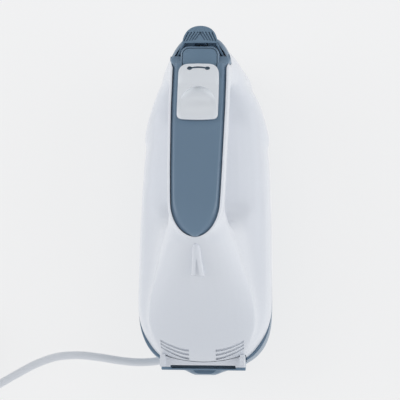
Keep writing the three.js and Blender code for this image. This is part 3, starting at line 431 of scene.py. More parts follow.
# ------------------------------------------------------------------ camera, light and floor
@dataclass
class Studio:
    """Camera nearly straight above, a pale sweep under the mixer, and large soft lights."""

    target: Point = (-3.0, 2.0, 55.0)
    tilt_right: float = 4.3
    tilt_back: float = 5.5
    roll: float = 0.7
    distance: float = 1200.0
    lens: float = 171.1
    floor_reach: float = 6000.0
    floor_cloud: float = 250.0
    floor_glow: float = 0.82
    dome_low: float = 0.88
    dome_high: float = 0.4
    dome_front: float = 0.2
    soft_boxes: tuple[tuple[str, Point, tuple[float, float], float, str], ...] = (
        ("left", (-900.0, 150.0, 650.0), (700.0, 1100.0), 2.9, "#fbfcff"),
        ("right", (900.0, 100.0, 650.0), (700.0, 1100.0), 3.0, "#fbfcff"),
        ("front", (0.0, 1000.0, 700.0), (900.0, 500.0), 1.0, "#ffffff"))

    def camera(self) -> None:
        """Makes the scene's camera."""
        toward = Vector((math.tan(math.radians(self.tilt_right)), -math.tan(math.radians(self.tilt_back)),
                         1.0))
        toward.normalize()
        right = (-toward).cross(Vector((0, 1, 0))).normalized()
        up = right.cross(-toward)
        c, s = math.cos(math.radians(self.roll)), math.sin(math.radians(self.roll))
        axes = Matrix((c * right + s * up, -s * right + c * up, toward)).transposed()
        data = bpy.data.cameras.new("camera")
        data.lens = self.lens
        data.sensor_width = 36.0
        data.clip_start = 0.05
        data.clip_end = 50.0
        made = bpy.data.objects.new("camera", data)
        stand = Vector(self.target) + toward * self.distance
        made.matrix_world = Matrix.Translation(stand * MM) @ axes.to_4x4()
        bpy.context.scene.collection.objects.link(made)
        bpy.context.scene.camera = made

    def light(self, name: str, place: Point, size: tuple[float, float], power: float, colour: str) -> None:
        """Adds one soft box that faces the middle of the mixer.

        Args:
            name: the light's name.
            place: its middle in millimetres.
            size: its width and height in millimetres.
            power: its power in watts.
            colour: its sRGB hex colour.
        """
        data = bpy.data.lights.new(name, "AREA")
        data.shape = "RECTANGLE"
        data.size, data.size_y = (s * MM for s in size)
        data.energy = power
        data.color = linear(colour)[:3]
        made = bpy.data.objects.new(name, data)
        at = Vector(place)
        aim = (Vector((0.0, 0.0, 60.0)) - at).to_track_quat("-Z", "Y").to_matrix().to_4x4()
        made.matrix_world = Matrix.Translation(at * MM) @ aim
        bpy.context.scene.collection.objects.link(made)

    def floor(self) -> None:
        """Adds the plain pale floor, a softly backlit sheet so that the mixer throws hardly any shadow."""
        r = self.floor_reach
        made = from_points("floor", [(-r, -r, 0), (r, -r, 0), (r, r, 0), (-r, r, 0)], [(0, 1, 2, 3)])
        material, tree, place = bare_material("backlit_opal_sheet")
        cloud = add_node(tree, "ShaderNodeTexNoise", {"Vector": place, "Scale": 1 / (self.floor_cloud * MM)})
        tint = add_node(tree, "ShaderNodeMix", {"Factor": cloud.outputs["Fac"], "A": linear("#808080"),
                                                "B": linear("#7e7e7e")}, data_type="RGBA")
        shader = add_node(tree, "ShaderNodeBsdfPrincipled", {
            "Base Color": tint.outputs["Result"], "Roughness": 1.0, "Specular IOR Level": 0.0,
            "Emission Color": linear("#f2f2f2"), "Emission Strength": self.floor_glow})
        add_node(tree, "ShaderNodeOutputMaterial", {"Surface": shader.outputs["BSDF"]})
        wear(made, material)

    def sky(self) -> None:
        """Surrounds the scene with a pale dome, brighter low down than overhead and dimmer in front."""
        world = bpy.data.worlds.new("studio")
        world.use_nodes = True
        tree = world.node_tree
        tree.nodes.clear()
        ray = add_node(tree, "ShaderNodeTexCoord").outputs["Generated"]
        height = add_node(tree, "ShaderNodeSeparateXYZ", {"Vector": ray})
        dome = add_node(tree, "ShaderNodeMapRange", {
            "Value": height.outputs["Z"], "From Min": 0.25, "From Max": 0.95, "To Min": self.dome_low,
            "To Max": self.dome_high}, interpolation_type="SMOOTHSTEP")
        front = add_node(tree, "ShaderNodeMapRange", {
            "Value": height.outputs["Y"], "From Min": 0.3, "From Max": 0.9, "To Min": 1.0,
            "To Max": self.dome_front}, interpolation_type="SMOOTHSTEP")
        strength = add_node(tree, "ShaderNodeMath", {0: dome.outputs["Result"], 1: front.outputs["Result"]},
                            operation="MULTIPLY")
        glow = add_node(tree, "ShaderNodeBackground",
                        {"Color": linear("#f1f5fb"), "Strength": strength.outputs[0]})
        add_node(tree, "ShaderNodeOutputWorld", {"Surface": glow.outputs["Background"]})
        bpy.context.scene.world = world

    def build(self) -> None:
        """Builds the whole studio."""
        self.camera()
        self.floor()
        for name, place, size, power, colour in self.soft_boxes:
            self.light(name, place, size, power, colour)
        self.sky()
        bpy.context.scene.view_settings.view_transform = "Standard"


# ------------------------------------------------------------------ geometry nodes
class NodeRecipe:
    """A geometry node tree with named inputs, run once on a mesh to give a plain mesh."""

    def __init__(self, name: str) -> None:
        """Starts an empty tree with a geometry input and output."""
        self.tree = bpy.data.node_groups.new(name, "GeometryNodeTree")
        self.tree.interface.new_socket("Geometry", in_out="INPUT", socket_type="NodeSocketGeometry")
        self.tree.interface.new_socket("Geometry", in_out="OUTPUT", socket_type="NodeSocketGeometry")
        self.source = self.tree.nodes.new("NodeGroupInput")
        self.values: dict[str, float] = {}

    def size(self, name: str, value: float) -> bpy.types.NodeSocket:
        """Adds a named size in metres and gives its socket."""
        made = self.tree.interface.new_socket(name, in_out="INPUT", socket_type="NodeSocketFloat")
        self.values[made.identifier] = value
        return self.source.outputs[name]

    def add(self, kind: str, inputs: dict | None = None, **settings: object) -> bpy.types.Node:
        """Adds a node to the tree."""
        return add_node(self.tree, kind, inputs, **settings)

    def finish(self, shape: bpy.types.NodeSocket, material: bpy.types.Material) -> None:
        """Ends the tree in realised geometry with its material."""
        solid = self.add("GeometryNodeRealizeInstances", {0: shape})
        dressed = self.add("GeometryNodeSetMaterial", {"Geometry": solid.outputs[0], "Material": material})
        self.add("NodeGroupOutput", {0: dressed.outputs[0]})

    def run(self, name: str, mesh: bpy.types.Mesh) -> bpy.types.Object:
        """Runs the tree on a mesh.

        Args:
            name: the finished piece's name.
            mesh: the points or curve the tree starts from.

        Returns:
            A plain mesh object with the result.
        """
        made = new_object(name, mesh)
        change = made.modifiers.new("recipe", "NODES")
        change.node_group = self.tree
        for key, value in self.values.items():
            change[key] = value
        settle(made)
        outward(made)
        return polish(made)


def dots(points: Sequence[Point], turns: Sequence[float] | None = None) -> bpy.types.Mesh:
    """Mesh of loose points in millimetres, each with a turn about z in radians."""
    mesh = bpy.data.meshes.new("dots")
    mesh.from_pydata([tuple(c * MM for c in p) for p in points], [], [])
    turn = mesh.attributes.new("turn", "FLOAT", "POINT")
    turn.data.foreach_set("value", list(turns or [0.0] * len(points)))
    return mesh


# ------------------------------------------------------------------ swept round pieces
def smooth_path(points: Sequence[Point], pitch: float) -> list[Vector]:
    """Even points along a centripetal Catmull-Rom curve through the given ones, in millimetres."""
    knots = [Vector(p) for p in points]
    ends = [knots[0] * 2 - knots[1], *knots, knots[-1] * 2 - knots[-2]]
    fine: list[Vector] = []
    for a, b, c, d in zip(ends, ends[1:], ends[2:], ends[3:]):
        t0, t1 = 0.0, (b - a).length ** 0.5
        t2 = t1 + (c - b).length ** 0.5
        t3 = t2 + (d - c).length ** 0.5
        for step in range(24):
            t = t1 + (t2 - t1) * step / 24
            ab = a.lerp(b, (t - t0) / (t1 - t0))
            bc = b.lerp(c, (t - t1) / (t2 - t1))
            cd = c.lerp(d, (t - t2) / (t3 - t2))
            abc, bcd = ab.lerp(bc, (t - t0) / (t2 - t0)), bc.lerp(cd, (t - t1) / (t3 - t1))
            fine.append(abc.lerp(bcd, (t - t1) / (t2 - t1)))
    fine.append(knots[-1])
    gone = np.concatenate([[0.0], np.cumsum([(q - p).length for p, q in zip(fine, fine[1:])])])
    count = max(2, round(gone[-1] / pitch))
    at = np.linspace(0, gone[-1], count + 1)
    spots = np.array([tuple(p) for p in fine])
    return [Vector(p) for p in np.stack([np.interp(at, gone, spots[:, i]) for i in range(3)], axis=1)]


def round_sweep(name: str, path: Sequence[Vector], radius: Callable[[float], float],
                sides: int) -> bpy.types.Object:
    """Closed round piece along a path.

    Args:
        name: the piece's name.
        path: centre points in millimetres.
        radius: radius in millimetres from the share of the path that has gone.
        sides: number of sides.

    Returns:
        The piece.
    """
    points: list[Point] = []
    normal = Vector((0, 0, 1))
    for k, spot in enumerate(path):
        ahead = (path[min(k + 1, len(path) - 1)] - path[max(k - 1, 0)]).normalized()
        normal = (normal - ahead * normal.dot(ahead)).normalized()
        other = ahead.cross(normal)
        r = radius(k / (len(path) - 1))
        for i in range(sides):
            a = 2 * math.pi * i / sides
            points.append(tuple(spot + normal * (r * math.cos(a)) + other * (r * math.sin(a))))
    faces: list[Sequence[int]] = []
    for k in range(len(path) - 1):
        for i in range(sides):
            j = (i + 1) % sides
            faces.append((k * sides + i, k * sides + j, (k + 1) * sides + j, (k + 1) * sides + i))
    faces.append(tuple(reversed(range(sides))))
    faces.append(tuple(range(len(points) - sides, len(points))))
    made = from_points(name, points, faces)
    outward(made)
    return polish(made)


# ------------------------------------------------------------------ mains lead
def eased(value: float, start: float, end: float) -> float:
    """Smooth rise from 0 to 1 between start and end."""
    t = min(max((value - start) / (end - start), 0.0), 1.0)
    return t * t * (3 - 2 * t)


@dataclass
class MainsLead:
    """Lead from its moulded relief across the table to a tied two-layer coil with the plug on top."""

    radius: float = 2.6
    relief_route: tuple[Point, ...] = ((-3, -84, 7.6), (-9, -90, 6), (-18, -95, 4.6), (-30, -98.6, 3.5))
    relief_radii: tuple[float, ...] = (4.4, 4.2, 3.8, 3.2)
    start: Point = (-28.0, -98.1, 3.6)
    route: tuple[Point, ...] = (
        (-38, -99.6, 2.7), (-48, -99.9, 2.7), (-60, -98.8, 2.7), (-72, -97, 2.7), (-86, -95.8, 2.7),
        (-100, -97, 2.7), (-113, -101.5, 2.7), (-127, -109, 2.7), (-141, -117, 2.7), (-156, -123.2, 2.7),
        (-167, -125.1, 3.1))
    tail_route: tuple[Point, ...] = (
        (-150.3, -84.5, 15.7), (-151.6, -91, 16.8), (-156.2, -97.8, 17.8), (-163.8, -102.6, 18.5),
        (-171.2, -104, 18.8))
    coil: tuple[float, float] = (-178.0, -92.0)
    outer_turn: float = 33.3
    turn_pitch: float = 5.4
    layer_low: float = 3.6
    layer_rise: float = 5.4
    last_angle: float = 2042.0
    plug_rear: float = -171.5
    plug_axis: tuple[float, float] = (-104.0, 18.8)
    plug_plan: tuple[tuple[float, float], ...] = ((0, 4.6), (4, 4.9), (10, 5.6), (12, 9), (24, 16.2),
                                                  (29, 17.4),
                                                  (36, 17.4))

    def coil_points(self) -> list[Point]:
        """Turns of the coil: in across the lower layer, up, and out across the upper one."""
        inward = ((210, 360), (570, 720))
        outward_steps = ((1140, 1290), (1500, 1650))
        points: list[Point] = []
        climbs = ((810, 930), (1850, 1935))
        leave, leave_inset = 1935, 4.8
        for angle in np.arange(0.0, self.last_angle + 0.1, 6.0):
            r = self.outer_turn - self.turn_pitch * sum(eased(angle, *span) for span in inward)
            r += self.turn_pitch * sum(eased(angle, *span) for span in outward_steps)
            r -= leave_inset * eased(angle, leave, self.last_angle)
            z = self.layer_low + self.layer_rise * sum(eased(angle, *span) for span in climbs)
            turned = math.radians(-90 - angle)
            points.append((self.coil[0] + r * math.cos(turned), self.coil[1] + r * math.sin(turned), z))
        return points

    def line(self) -> list[Vector]:
        """Centre line of the whole lead in millimetres."""
        return smooth_path([self.start, *self.route, *self.coil_points(), *self.tail_route], 2.6)

    def relief(self) -> bpy.types.Object:
        """Tapered relief with moulded rings along it."""
        path = smooth_path(self.relief_route, 1.0)
        taper = through([(i / 3, r - 0.5) for i, r in enumerate(self.relief_radii)])
        sleeve = round_sweep("relief", path, taper, 24)
        recipe = NodeRecipe("relief_rings")
        band = recipe.size("Band", 1.5 * MM)
        spine = recipe.add("GeometryNodeMeshToCurve", {0: recipe.source.outputs["Geometry"]})
        spread = recipe.add("GeometryNodeResampleCurve", {0: spine.outputs[0], "Count": 9})
        drum = recipe.add("GeometryNodeMeshCylinder", {"Vertices": 28, "Depth": band, "Radius": recipe.size(
            "Radius", 4.3 * MM)})
        turned = recipe.add("FunctionNodeAlignRotationToVector", {
            "Vector": recipe.add("GeometryNodeInputTangent").outputs[0]}, axis="Z")
        index = recipe.add("GeometryNodeInputIndex")
        shrink = recipe.add("ShaderNodeMath", {0: index.outputs[0], 1: -0.03, 2: 1.0},
                            operation="MULTIPLY_ADD")
        rings = recipe.add("GeometryNodeInstanceOnPoints", {
            "Points": spread.outputs[0], "Instance": drum.outputs["Mesh"],
            "Rotation": turned.outputs[0], "Scale": shrink.outputs[0]})
        recipe.finish(rings.outputs[0], Finish.WHITE_PVC.material())
        spine_mesh = bpy.data.meshes.new("spine")
        inner = path[3:-2]
        spine_mesh.from_pydata([tuple(p * MM) for p in inner], [(i, i + 1) for i in range(len(inner) - 1)],
                               [])
        ribs = recipe.run("relief_ribs", spine_mesh)
        soften(ribs, 0.35, 2)
        wear(sleeve, Finish.WHITE_PVC.material())
        made = carve(sleeve, ribs, how="UNION")
        made.name = "strain_relief_moulded"
        wear(made, Finish.WHITE_PVC.material())
        return polish(made, 30)

    def plug(self) -> bpy.types.Object:
        """Flat moulded plug with ribbed grip sides."""
        edge = through(self.plug_plan)
        y0, z0 = self.plug_axis
        rings: list[tuple[float, Ring]] = []
        for d in [0.0, 0.6, *steps_between(2, 34, 1.0), 35.4, 36.0]:
            inset = 0.9 if d in (0.0, 36.0) else 0.2 if d in (0.6, 35.4) else 0.0
            half, thick = edge(d) - inset, min(6.6, 4.4 + 0.2 * d) - inset
            if 14 < d < 28:
                half -= 0.55 * (math.sin(math.pi * (d - 14) / 2) > 0)
            ring = [(half * math.copysign(abs(math.cos(a)) ** 0.55, math.cos(a)),
                     thick * math.copysign(abs(math.sin(a)) ** 0.55, math.sin(a)))
                    for a in (2 * math.pi * i / 48 for i in range(48))]
            rings.append((d, ring))
        made = loft("plug_moulding", rings)
        made.data.transform(Matrix(((0, -1, 0, self.plug_rear * MM), (1, 0, 0, y0 * MM), (0, 0, 1, z0 * MM),
                                    (0, 0, 0, 1))))
        outward(made)
        wear(made, Finish.WHITE_PVC.material())
        return polish(made, 50)

    def tie(self) -> bpy.types.Object:
        """Closed tie round the coil."""
        x, y = self.coil
        mid = y + self.outer_turn - self.turn_pitch
        half, top = 8.5, 12.3
        band = 0.6
        outer = block((x - 2.4, x + 2.4), (mid - half, mid + half), (0.05, top))
        outer.name = "coil_tie"
        carve(outer, block((x - 4, x + 4), (mid - half + band, mid + half - band), (0.05 + band, top - band)))
        soften(outer, 0.25, 2)
        wear(outer, Finish.BLACK_NYLON.material())
        return polish(outer)

    def build(self) -> list[bpy.types.Object]:
        line = self.line()
        lead = round_sweep("mains_lead", line, lambda share: self.radius, 16)
        wear(lead, Finish.WHITE_PVC.material())
        relief, plug, tie = self.relief(), self.plug(), self.tie()
        for piece, nodes in ((lead, ("mains_cord", "cord_coil", "cord_tail")), (relief, ("strain_relief",)),
                             (plug, ("plug_body",)), (tie, ("cord_tie",))):
            present(piece, "housing", "black_nylon" if piece is tie else "white_pvc", *nodes)
        return [lead, relief, plug, tie]


# ------------------------------------------------------------------ outline of the whole mixer
class Form:
    """Curves that the shells, the cover and the controls share, in millimetres."""

    rear_end = -104.5
    front_end = 97.5
    max_half = 42.5
    wall = 2.4
    gap = 0.2
    parting_mid = 33.0
    parting_slope = -0.118
    side_half = through([(-62, 42.5), (-22, 41.9), (3, 41), (23, 40.1), (36, 38.7), (44, 37.2), (51, 35.7),
                         (58, 33.6), (65.4, 31.2), (72.7, 27.2), (74, 26.5)])
    casing_top = through([(-104.5, 38), (-100, 52), (-93, 58), (-80, 64), (-62, 68), (-30, 69), (60, 69),
                          (85, 64), (97.5, 50)])
    shoulder_z = through([(-104.5, 34), (-100, 46), (-90, 54), (-60, 61), (40, 62), (74, 58), (97.5, 44)])
    base_curve = through([(-104.5, 24), (-102, 15), (-97, 8.5), (-91, 3.6), (-84, 0), (-70, 0), (60, 0),
                          (70, 0), (82, 3), (91, 11), (97.5, 30)])
    handle_top = through([(-30, 131.5), (-24, 134), (-14, 135.5), (6, 132.5), (25, 128), (43, 123.2),
                          (56, 119),
                          (69, 114.2), (80, 111.5), (90, 109.5)])
    handle_under = through([(-30, 96), (-12, 103), (12, 105.5), (32, 102.5), (50, 98.5), (66, 93), (80, 90)])
    strip_side = through([(-12, 14), (-6, 14.6), (6.5, 15.1), (25, 15.6), (43.5, 16), (56, 16.2), (82, 16.2)])
    hump_top = through([(-104.4, 40), (-100, 53.5), (-95, 60.5), (-87, 67), (-76, 75), (-66, 83), (-55, 93.5),
                        (-45, 105), (-34, 119.5), (-29, 126), (-22, 129), (12, 126)])
    hump_crease_x = through([(-104.4, 3), (-97, 22), (-87, 31), (-75, 33.5), (-60, 31.8), (-48, 27.8),
                             (-30, 22.4), (-15, 16.8), (12, 15)])
    hump_crease_z = through([(-104.4, 37), (-97, 53), (-87, 61.5), (-75, 67), (-60, 74), (-48, 84),
                             (-30, 101),
                             (-15, 117), (12, 117)])
    neck_rim_x = through([(40, 16.5), (66, 17.4), (78, 17.6), (83, 17.4), (88, 16.2), (91, 14.6),
                          (94.6, 11.9), (97, 8.4)])
    neck_rim_z = through([(40, 100), (66, 100.5), (78, 100), (85, 98), (97, 95)])
    neck_side_z = through([(40, 44), (50, 50), (61, 58), (68, 67), (81, 74), (88, 84), (97, 88)])
    finger_rear = ((-6, 150), (-6, 106), (-12, 98), (-14.5, 87), (-12, 75), (-4, 62), (10, 50))
    finger_front = ((34, 46), (46, 57), (56, 66), (64, 76), (68.5, 86), (66, 95), (59, 101), (57, 150))
    cap_half = through([(76, 16.2), (78, 16.5), (80, 17.5), (82.3, 18.4), (85, 18.1), (88, 17.1), (91, 15.5),
                        (94.6, 12.8), (96.8, 10.2), (98.6, 5)])

    @classmethod
    def casing_half(cls, y: float) -> float:
        """Half width of the casing."""
        if y < -62:
            t = min((-62 - y) / (-62 - cls.rear_end), 1.0)
            return cls.max_half * (1 - t ** 2.8) ** (1 / 2.8)
        if y > 74:
            t = min((y - 74) / (cls.front_end - 74), 1.0)
            return 26.5 * (1 - t ** 1.7) ** (1 / 1.7)
        return cls.side_half(y)

    @classmethod
    def strip_half(cls, y: float, grow: float = 0.0) -> float:
        """Half width of the handle's inlay, round at its rear end and grown by a margin."""
        if y < -6:
            return (14.6 + grow) * math.sqrt(max(1 - ((-6 - y) / (21 + grow)) ** 2, 0.0))
        return cls.strip_side(y) + grow

    @classmethod
    def casing_ring(cls, y: float) -> Ring:
        """Section of the motor casing."""
        h, top, base = max(cls.casing_half(y), 0.6), cls.casing_top(y), max(cls.base_curve(y), 0.0)
        shoulder = min(cls.shoulder_z(y), top - 0.5)
        foot_x = max(h - 4.5, h * 0.6)
        corner = min(7.0, foot_x / 2)
        widest = min(40.0, (top + base) / 2 + 4) - 9 * eased(-y, 55, 95)
        foot = base + min(corner, (widest - base) * 0.6)
        half = [*bend((0, top), (0.45 * h, top), (0.78 * h, shoulder), 6),
                *bend((0.78 * h, shoulder), (h, shoulder - 4), (h, widest), 6),
                *bend((h, widest), (h - 0.3, 0.6 * widest + 0.4 * foot), (foot_x, foot), 5),
                *bend((foot_x, foot), (foot_x, base), (foot_x - corner, base), 5),
                (foot_x - corner, base), (0, base)]
        return mirrored(half)

    @classmethod
    def hump_ring(cls, y: float) -> Ring:
        """Section of the hump behind the handle, with its crease on each side."""
        top, cx, cz = cls.hump_top(y), cls.hump_crease_x(y), cls.hump_crease_z(y)
        fx = max(cls.casing_half(y) - 7, cx * 0.9)
        fz = min(56.0, cz - 3)
        half = [*bend((0, top), (0.7 * cx, top), (cx, cz), 7),
                *bend((cx, cz), (0.8 * cx + 0.2 * fx, 0.7 * fz + 0.3 * cz), (fx, fz), 6),
                (fx, fz), (fx, min(46.0, fz - 2)), (0, min(46.0, fz - 2))]
        return mirrored(half)

    @classmethod
    def neck_ring(cls, y: float) -> Ring:
        """Section of the front neck that carries the nose."""
        rim_x, rim_z = cls.neck_rim_x(y), cls.neck_rim_z(y)
        side_x, side_z = max(cls.casing_half(y), 1.0), cls.neck_side_z(y)
        low = min(38.0, cls.casing_top(y) - 8)
        half = [(0, rim_z), *bend((rim_x, rim_z), (0.35 * rim_x + 0.65 * side_x,
                                                   0.62 * rim_z + 0.38 * side_z),
                                  (side_x, side_z), 7), (side_x, side_z), (side_x, low), (0, low)]
        return mirrored(half)

    @classmethod
    def handle_ring(cls, y: float) -> Ring:
        """Section of the hand grip."""
        half_width, top, under = cls.strip_half(y) + 1.6, cls.handle_top(y), cls.handle_under(y)
        half = [(0, top), (half_width - 1, top), (half_width, top - 1.2), (half_width + 0.6, top - 6),
                *bend((half_width + 0.6, top - 6), (half_width + 1.4, under + 6),
                      (half_width - 5, under + 1), 6)[1:],
                (half_width - 5, under + 1), (0, under)]
        return mirrored(half)

    @classmethod
    def parting_z(cls, y: float) -> float:
        """Height of the joint between the two housings."""
        return cls.parting_mid + cls.parting_slope * y


def flat_distance(xs: np.ndarray, zs: np.ndarray, ring: Ring) -> np.ndarray:
    """Signed distance from a grid of flat points to a closed ring, negative inside."""
    px, pz = xs[:, None], zs[None, :]
    nearest = np.full((len(xs), len(zs)), 1e9)
    inside = np.zeros(nearest.shape, dtype=bool)
    for (x0, z0), (x1, z1) in zip(ring, [*ring[1:], ring[0]]):
        ex, ez = x1 - x0, z1 - z0
        length = ex * ex + ez * ez
        if length < 1e-9:
            continue
        t = np.clip(((px - x0) * ex + (pz - z0) * ez) / length, 0.0, 1.0)
        nearest = np.minimum(nearest, (px - x0 - t * ex) ** 2 + (pz - z0 - t * ez) ** 2)
        if abs(ez) > 1e-9:
            inside ^= ((z0 > pz) != (z1 > pz)) & (px < ex * (pz - z0) / ez + x0)
    return np.where(inside, -1.0, 1.0) * np.sqrt(nearest)


def melt(a: np.ndarray, b: np.ndarray, reach: float) -> np.ndarray:
    """Union of two distance fields, filleted over a reach in millimetres."""
    near = np.maximum(reach - np.abs(a - b), 0.0) / reach
    return np.minimum(a, b) - near * near * reach / 4


def smooth_rise(values: np.ndarray, start: float, end: float) -> np.ndarray:
    """Smooth rise from 0 to 1 of an array."""
    t = np.clip((values - start) / (end - start), 0.0, 1.0)
    return t * t * (3 - 2 * t)


def heel_plan(half: float, rear: float, front: float, middle: float) -> list[tuple[float, float]]:
    """Plan of the heel: square at the rear, bowed in at the front."""
    bow = bend((half, front), (0, 2 * middle - front), (-half, front), 16)
    return [(-half, rear), (half, rear), *bow, (-half, front)]


@dataclass
class Housing:
    """White upper housing with the grip, and blue-grey lower housing with sockets, screws and collars."""

    pitch: float = 1.25
    fillet_opening: float = 11.0
    fillet_body: float = 9.0
    fillet_handle: float = 4.0
    spindle: tuple[float, float] = (18.0, 47.0)
    screws: tuple[tuple[float, float], ...] = ((-17, 78), (17, 78), (-30, -82), (30, -82))
    screw_z: float = 6.0
    head_pocket: float = 3.9
    collar_bore: float = 9.7
    heel_half: float = 26.5
    groove_depth: float = 1.3
    ledge: float = 2.1
    bulge: float = 1.5
    vent_rows: int = 3
    vent_inner: float = 8.4
    vent_span: float = 17.6
    vent_front: float = -92.9
    vent_pitch: float = 2.5
    vent_sweep: float = 6.0
    vent_half: float = 0.62
    fin_front: float = -31.0
    fin_length: float = 17.6
    fin_top: float = 124.8
    fin_fall: float = 15.5
    relief_bore: tuple[Point, ...] = ((4, -76, 9), (-3, -84, 7.6), (-9, -90, 6), (-18, -95, 4.6),
                                      (-30, -98.6, 3.5),
                                      (-44, -100, 3))
    field_box: tuple[tuple[float, float], ...] = ((0.0, 47.0), (-109.0, 102.0), (-4.0, 139.0))

    def swept_field(self, axes: Sequence[np.ndarray], ring: Callable[[float], Ring], start: float,
                    end: float) -> np.ndarray:
        """Distance field of a body given by its sections along y.

        Args:
            axes: the grid's places along x, y and z.
            ring: section of the body at a y place.
            start: the body's rear end.
            end: its front end.

        Returns:
            Signed distances on the grid, negative inside.
        """
        xs, ys, zs = axes
        shape = np.full((len(xs), len(ys), len(zs)), 50.0)
        first, last = None, None
        for j, y in enumerate(ys):
            if start <= y <= end:
                shape[:, j, :] = np.maximum(flat_distance(xs, zs, ring(float(y))), max(start - y, y - end))
                first = j if first is None else first
                last = j
        for j in range(len(ys)):
            if j < first or j > last:
                edge = first if j < first else last
                away = abs(ys[j] - (start if j < first else end))
                shape[:, j, :] = np.hypot(np.maximum(shape[:, edge, :], 0.0), away)
        return shape

    def outer_mesh(self) -> bpy.types.Object:
        """Skin of the two housings together, as a shell of even wall."""
        axes = [np.arange(low, high, self.pitch) for low, high in self.field_box]
        casing = self.swept_field(axes, Form.casing_ring, Form.rear_end + 0.1, Form.front_end - 0.1)
        hump = self.swept_field(axes, Form.hump_ring, Form.rear_end + 0.2, 6.0)
        neck = self.swept_field(axes, Form.neck_ring, 42.0, 97.2)
        handle = self.swept_field(axes, Form.handle_ring, -26.9, 80.0)
        opening = flat_distance(axes[1], axes[2], [*Form.finger_rear, *Form.finger_front])[None, :, :]
        upper = melt(hump, neck, 2.0)
        upper = -melt(-upper, np.broadcast_to(opening, upper.shape), self.fillet_opening)
        body = melt(melt(casing, upper, self.fillet_body), handle, self.fillet_handle)
        slope = np.sqrt(sum(g * g for g in np.gradient(body, self.pitch)))
        body = body / np.clip(slope, 0.6, 2.5)
        corner = np.array([-axes[0][-1], axes[1][0], axes[2][0]])
        self.core = self.skin("core", body + self.groove_depth, corner)
        return self.skin("housing", np.maximum(body, -(body + Form.wall)), corner)

    def skin(self, name: str, half_field: np.ndarray, corner: np.ndarray) -> bpy.types.Object:
        """Mesh of a distance field given for the right-hand side only."""
        whole = np.concatenate([half_field[:0:-1], half_field], axis=0)
        reach = 3 * self.pitch
        grid = openvdb.FloatGrid(reach)
        grid.copyFromArray(np.clip(whole, -reach, reach).astype(np.float32))
        points, quads = grid.convertToQuads(0.0)
        places = self.smoothed(points * self.pitch + corner, quads)
        a, b, c = (places[quads[:, i]] for i in range(3))
        if np.einsum("ij,ij->", a, np.cross(b - a, c - a)) < 0:
            quads = quads[:, ::-1]
        return from_points(name, places.tolist(), quads.tolist())

    def smoothed(self, places: np.ndarray, quads: np.ndarray, rounds: int = 14) -> np.ndarray:
        """Evens out the grid's stair steps without shrinking the form."""
        edges = np.concatenate([quads[:, [0, 1]], quads[:, [1, 2]], quads[:, [2, 3]], quads[:, [3, 0]]])
        count = np.bincount(edges.ravel(), minlength=len(places))[:, None]
        for step in range(rounds):
            total = np.zeros_like(places)
            for axis in range(3):
                total[:, axis] = (np.bincount(edges[:, 0], weights=places[edges[:, 1], axis],
                                              minlength=len(places))
                                  + np.bincount(edges[:, 1], weights=places[edges[:, 0], axis],
                                                minlength=len(places)))
            places = places + (total / count - places) * (0.55 if step % 2 == 0 else -0.56)
        return places

    def half_space(self, below: bool, gap: float) -> bpy.types.Object:
        """Block on one side of the joint between the housings."""
        y0, y1, far = -130.0, 130.0, -40.0 if below else 180.0
        z0, z1 = (Form.parting_z(y) + (-gap if below else gap) for y in (y0, y1))
        corners = [(y0, far), (y1, far), (y1, z1), (y0, z0)]
        points = [(x, y, z) for x in (-80.0, 80.0) for y, z in corners]
        made = from_points("side", points, [(0, 1, 2, 3), (7, 6, 5, 4), (0, 4, 5, 1), (1, 5, 6, 2),
                                            (2, 6, 7, 3),
                                            (3, 7, 4, 0)])
        outward(made)
        return made

    def vents(self) -> bpy.types.Object:
        """Cutter of the three curved cooling slots on each side of the rear end."""
        shapes: list[bpy.types.Object] = []
        for side in (-1, 1):
            for k in range(self.vent_rows):
                line: Ring = []
                for i in range(9):
                    t = i / 8
                    line.append((side * (self.vent_inner + self.vent_span * t), self.vent_front
                                 - self.vent_pitch * k * (1 - 0.25 * t) + self.vent_sweep * t ** 1.6))
                edges = [[(x, y + shift) for x, y in line] for shift in (self.vent_half, -self.vent_half)]
                shapes.append(prism("slot", edges[0] + edges[1][::-1], 46.0, 80.0))
        first, *rest = shapes
        carve(first, *rest, how="UNION")
        return carve(first, self.core)

    def fin(self) -> bpy.types.Object:
        """Small hood behind the handle, hollow towards the rear between two legs."""
        rings: list[tuple[float, Ring]] = []
        for y in reversed(steps_between(self.fin_front, self.fin_front - self.fin_length, 0.8)):
            t = (self.fin_front - y) / self.fin_length
            half = 1.0 + 1.3 * min(t / 0.12, 1.0) ** 0.5 + 1.5 * t ** 1.4
            top = self.fin_top - self.fin_fall * t ** 1.15
            rings.append((y, mirrored([*bend((0, top), (half * 0.9, top), (half, top - 2.2), 5),
                                       (half, top - 2.2),
                                       (half + 0.5, top - 16), (0, top - 16)])))
        hood = loft("fin", rings)
        hollow: list[tuple[float, Ring]] = []
        for y in reversed(steps_between(-39.5, -50.0, 0.8)):
            t = (-39.5 - y) / 10.5
            half, top = 0.3 + 1.7 * t, 130.0
            crown = self.fin_top - self.fin_fall * ((self.fin_front - y) / self.fin_length) ** 1.15
            floor_z = crown - 0.8 - 2.6 * t
            hollow.append((y, mirrored([(0, top), (half, top), (half * 0.7, floor_z), (0, floor_z)])))
        return carve(hood, loft("hollow", hollow))

    def tucked_corner(self, x: np.ndarray, y: np.ndarray, z: np.ndarray) -> np.ndarray:
        """Shift that draws the upper housing's rear corners in over the lower one's ledge."""
        amount = self.ledge * smooth_rise(-y, 66, 98) * np.clip(np.abs(x) / 36, 0, 1) ** 2
        return np.stack([-np.sign(x) * amount * 0.8, amount * 0.75, 0 * z], axis=1)

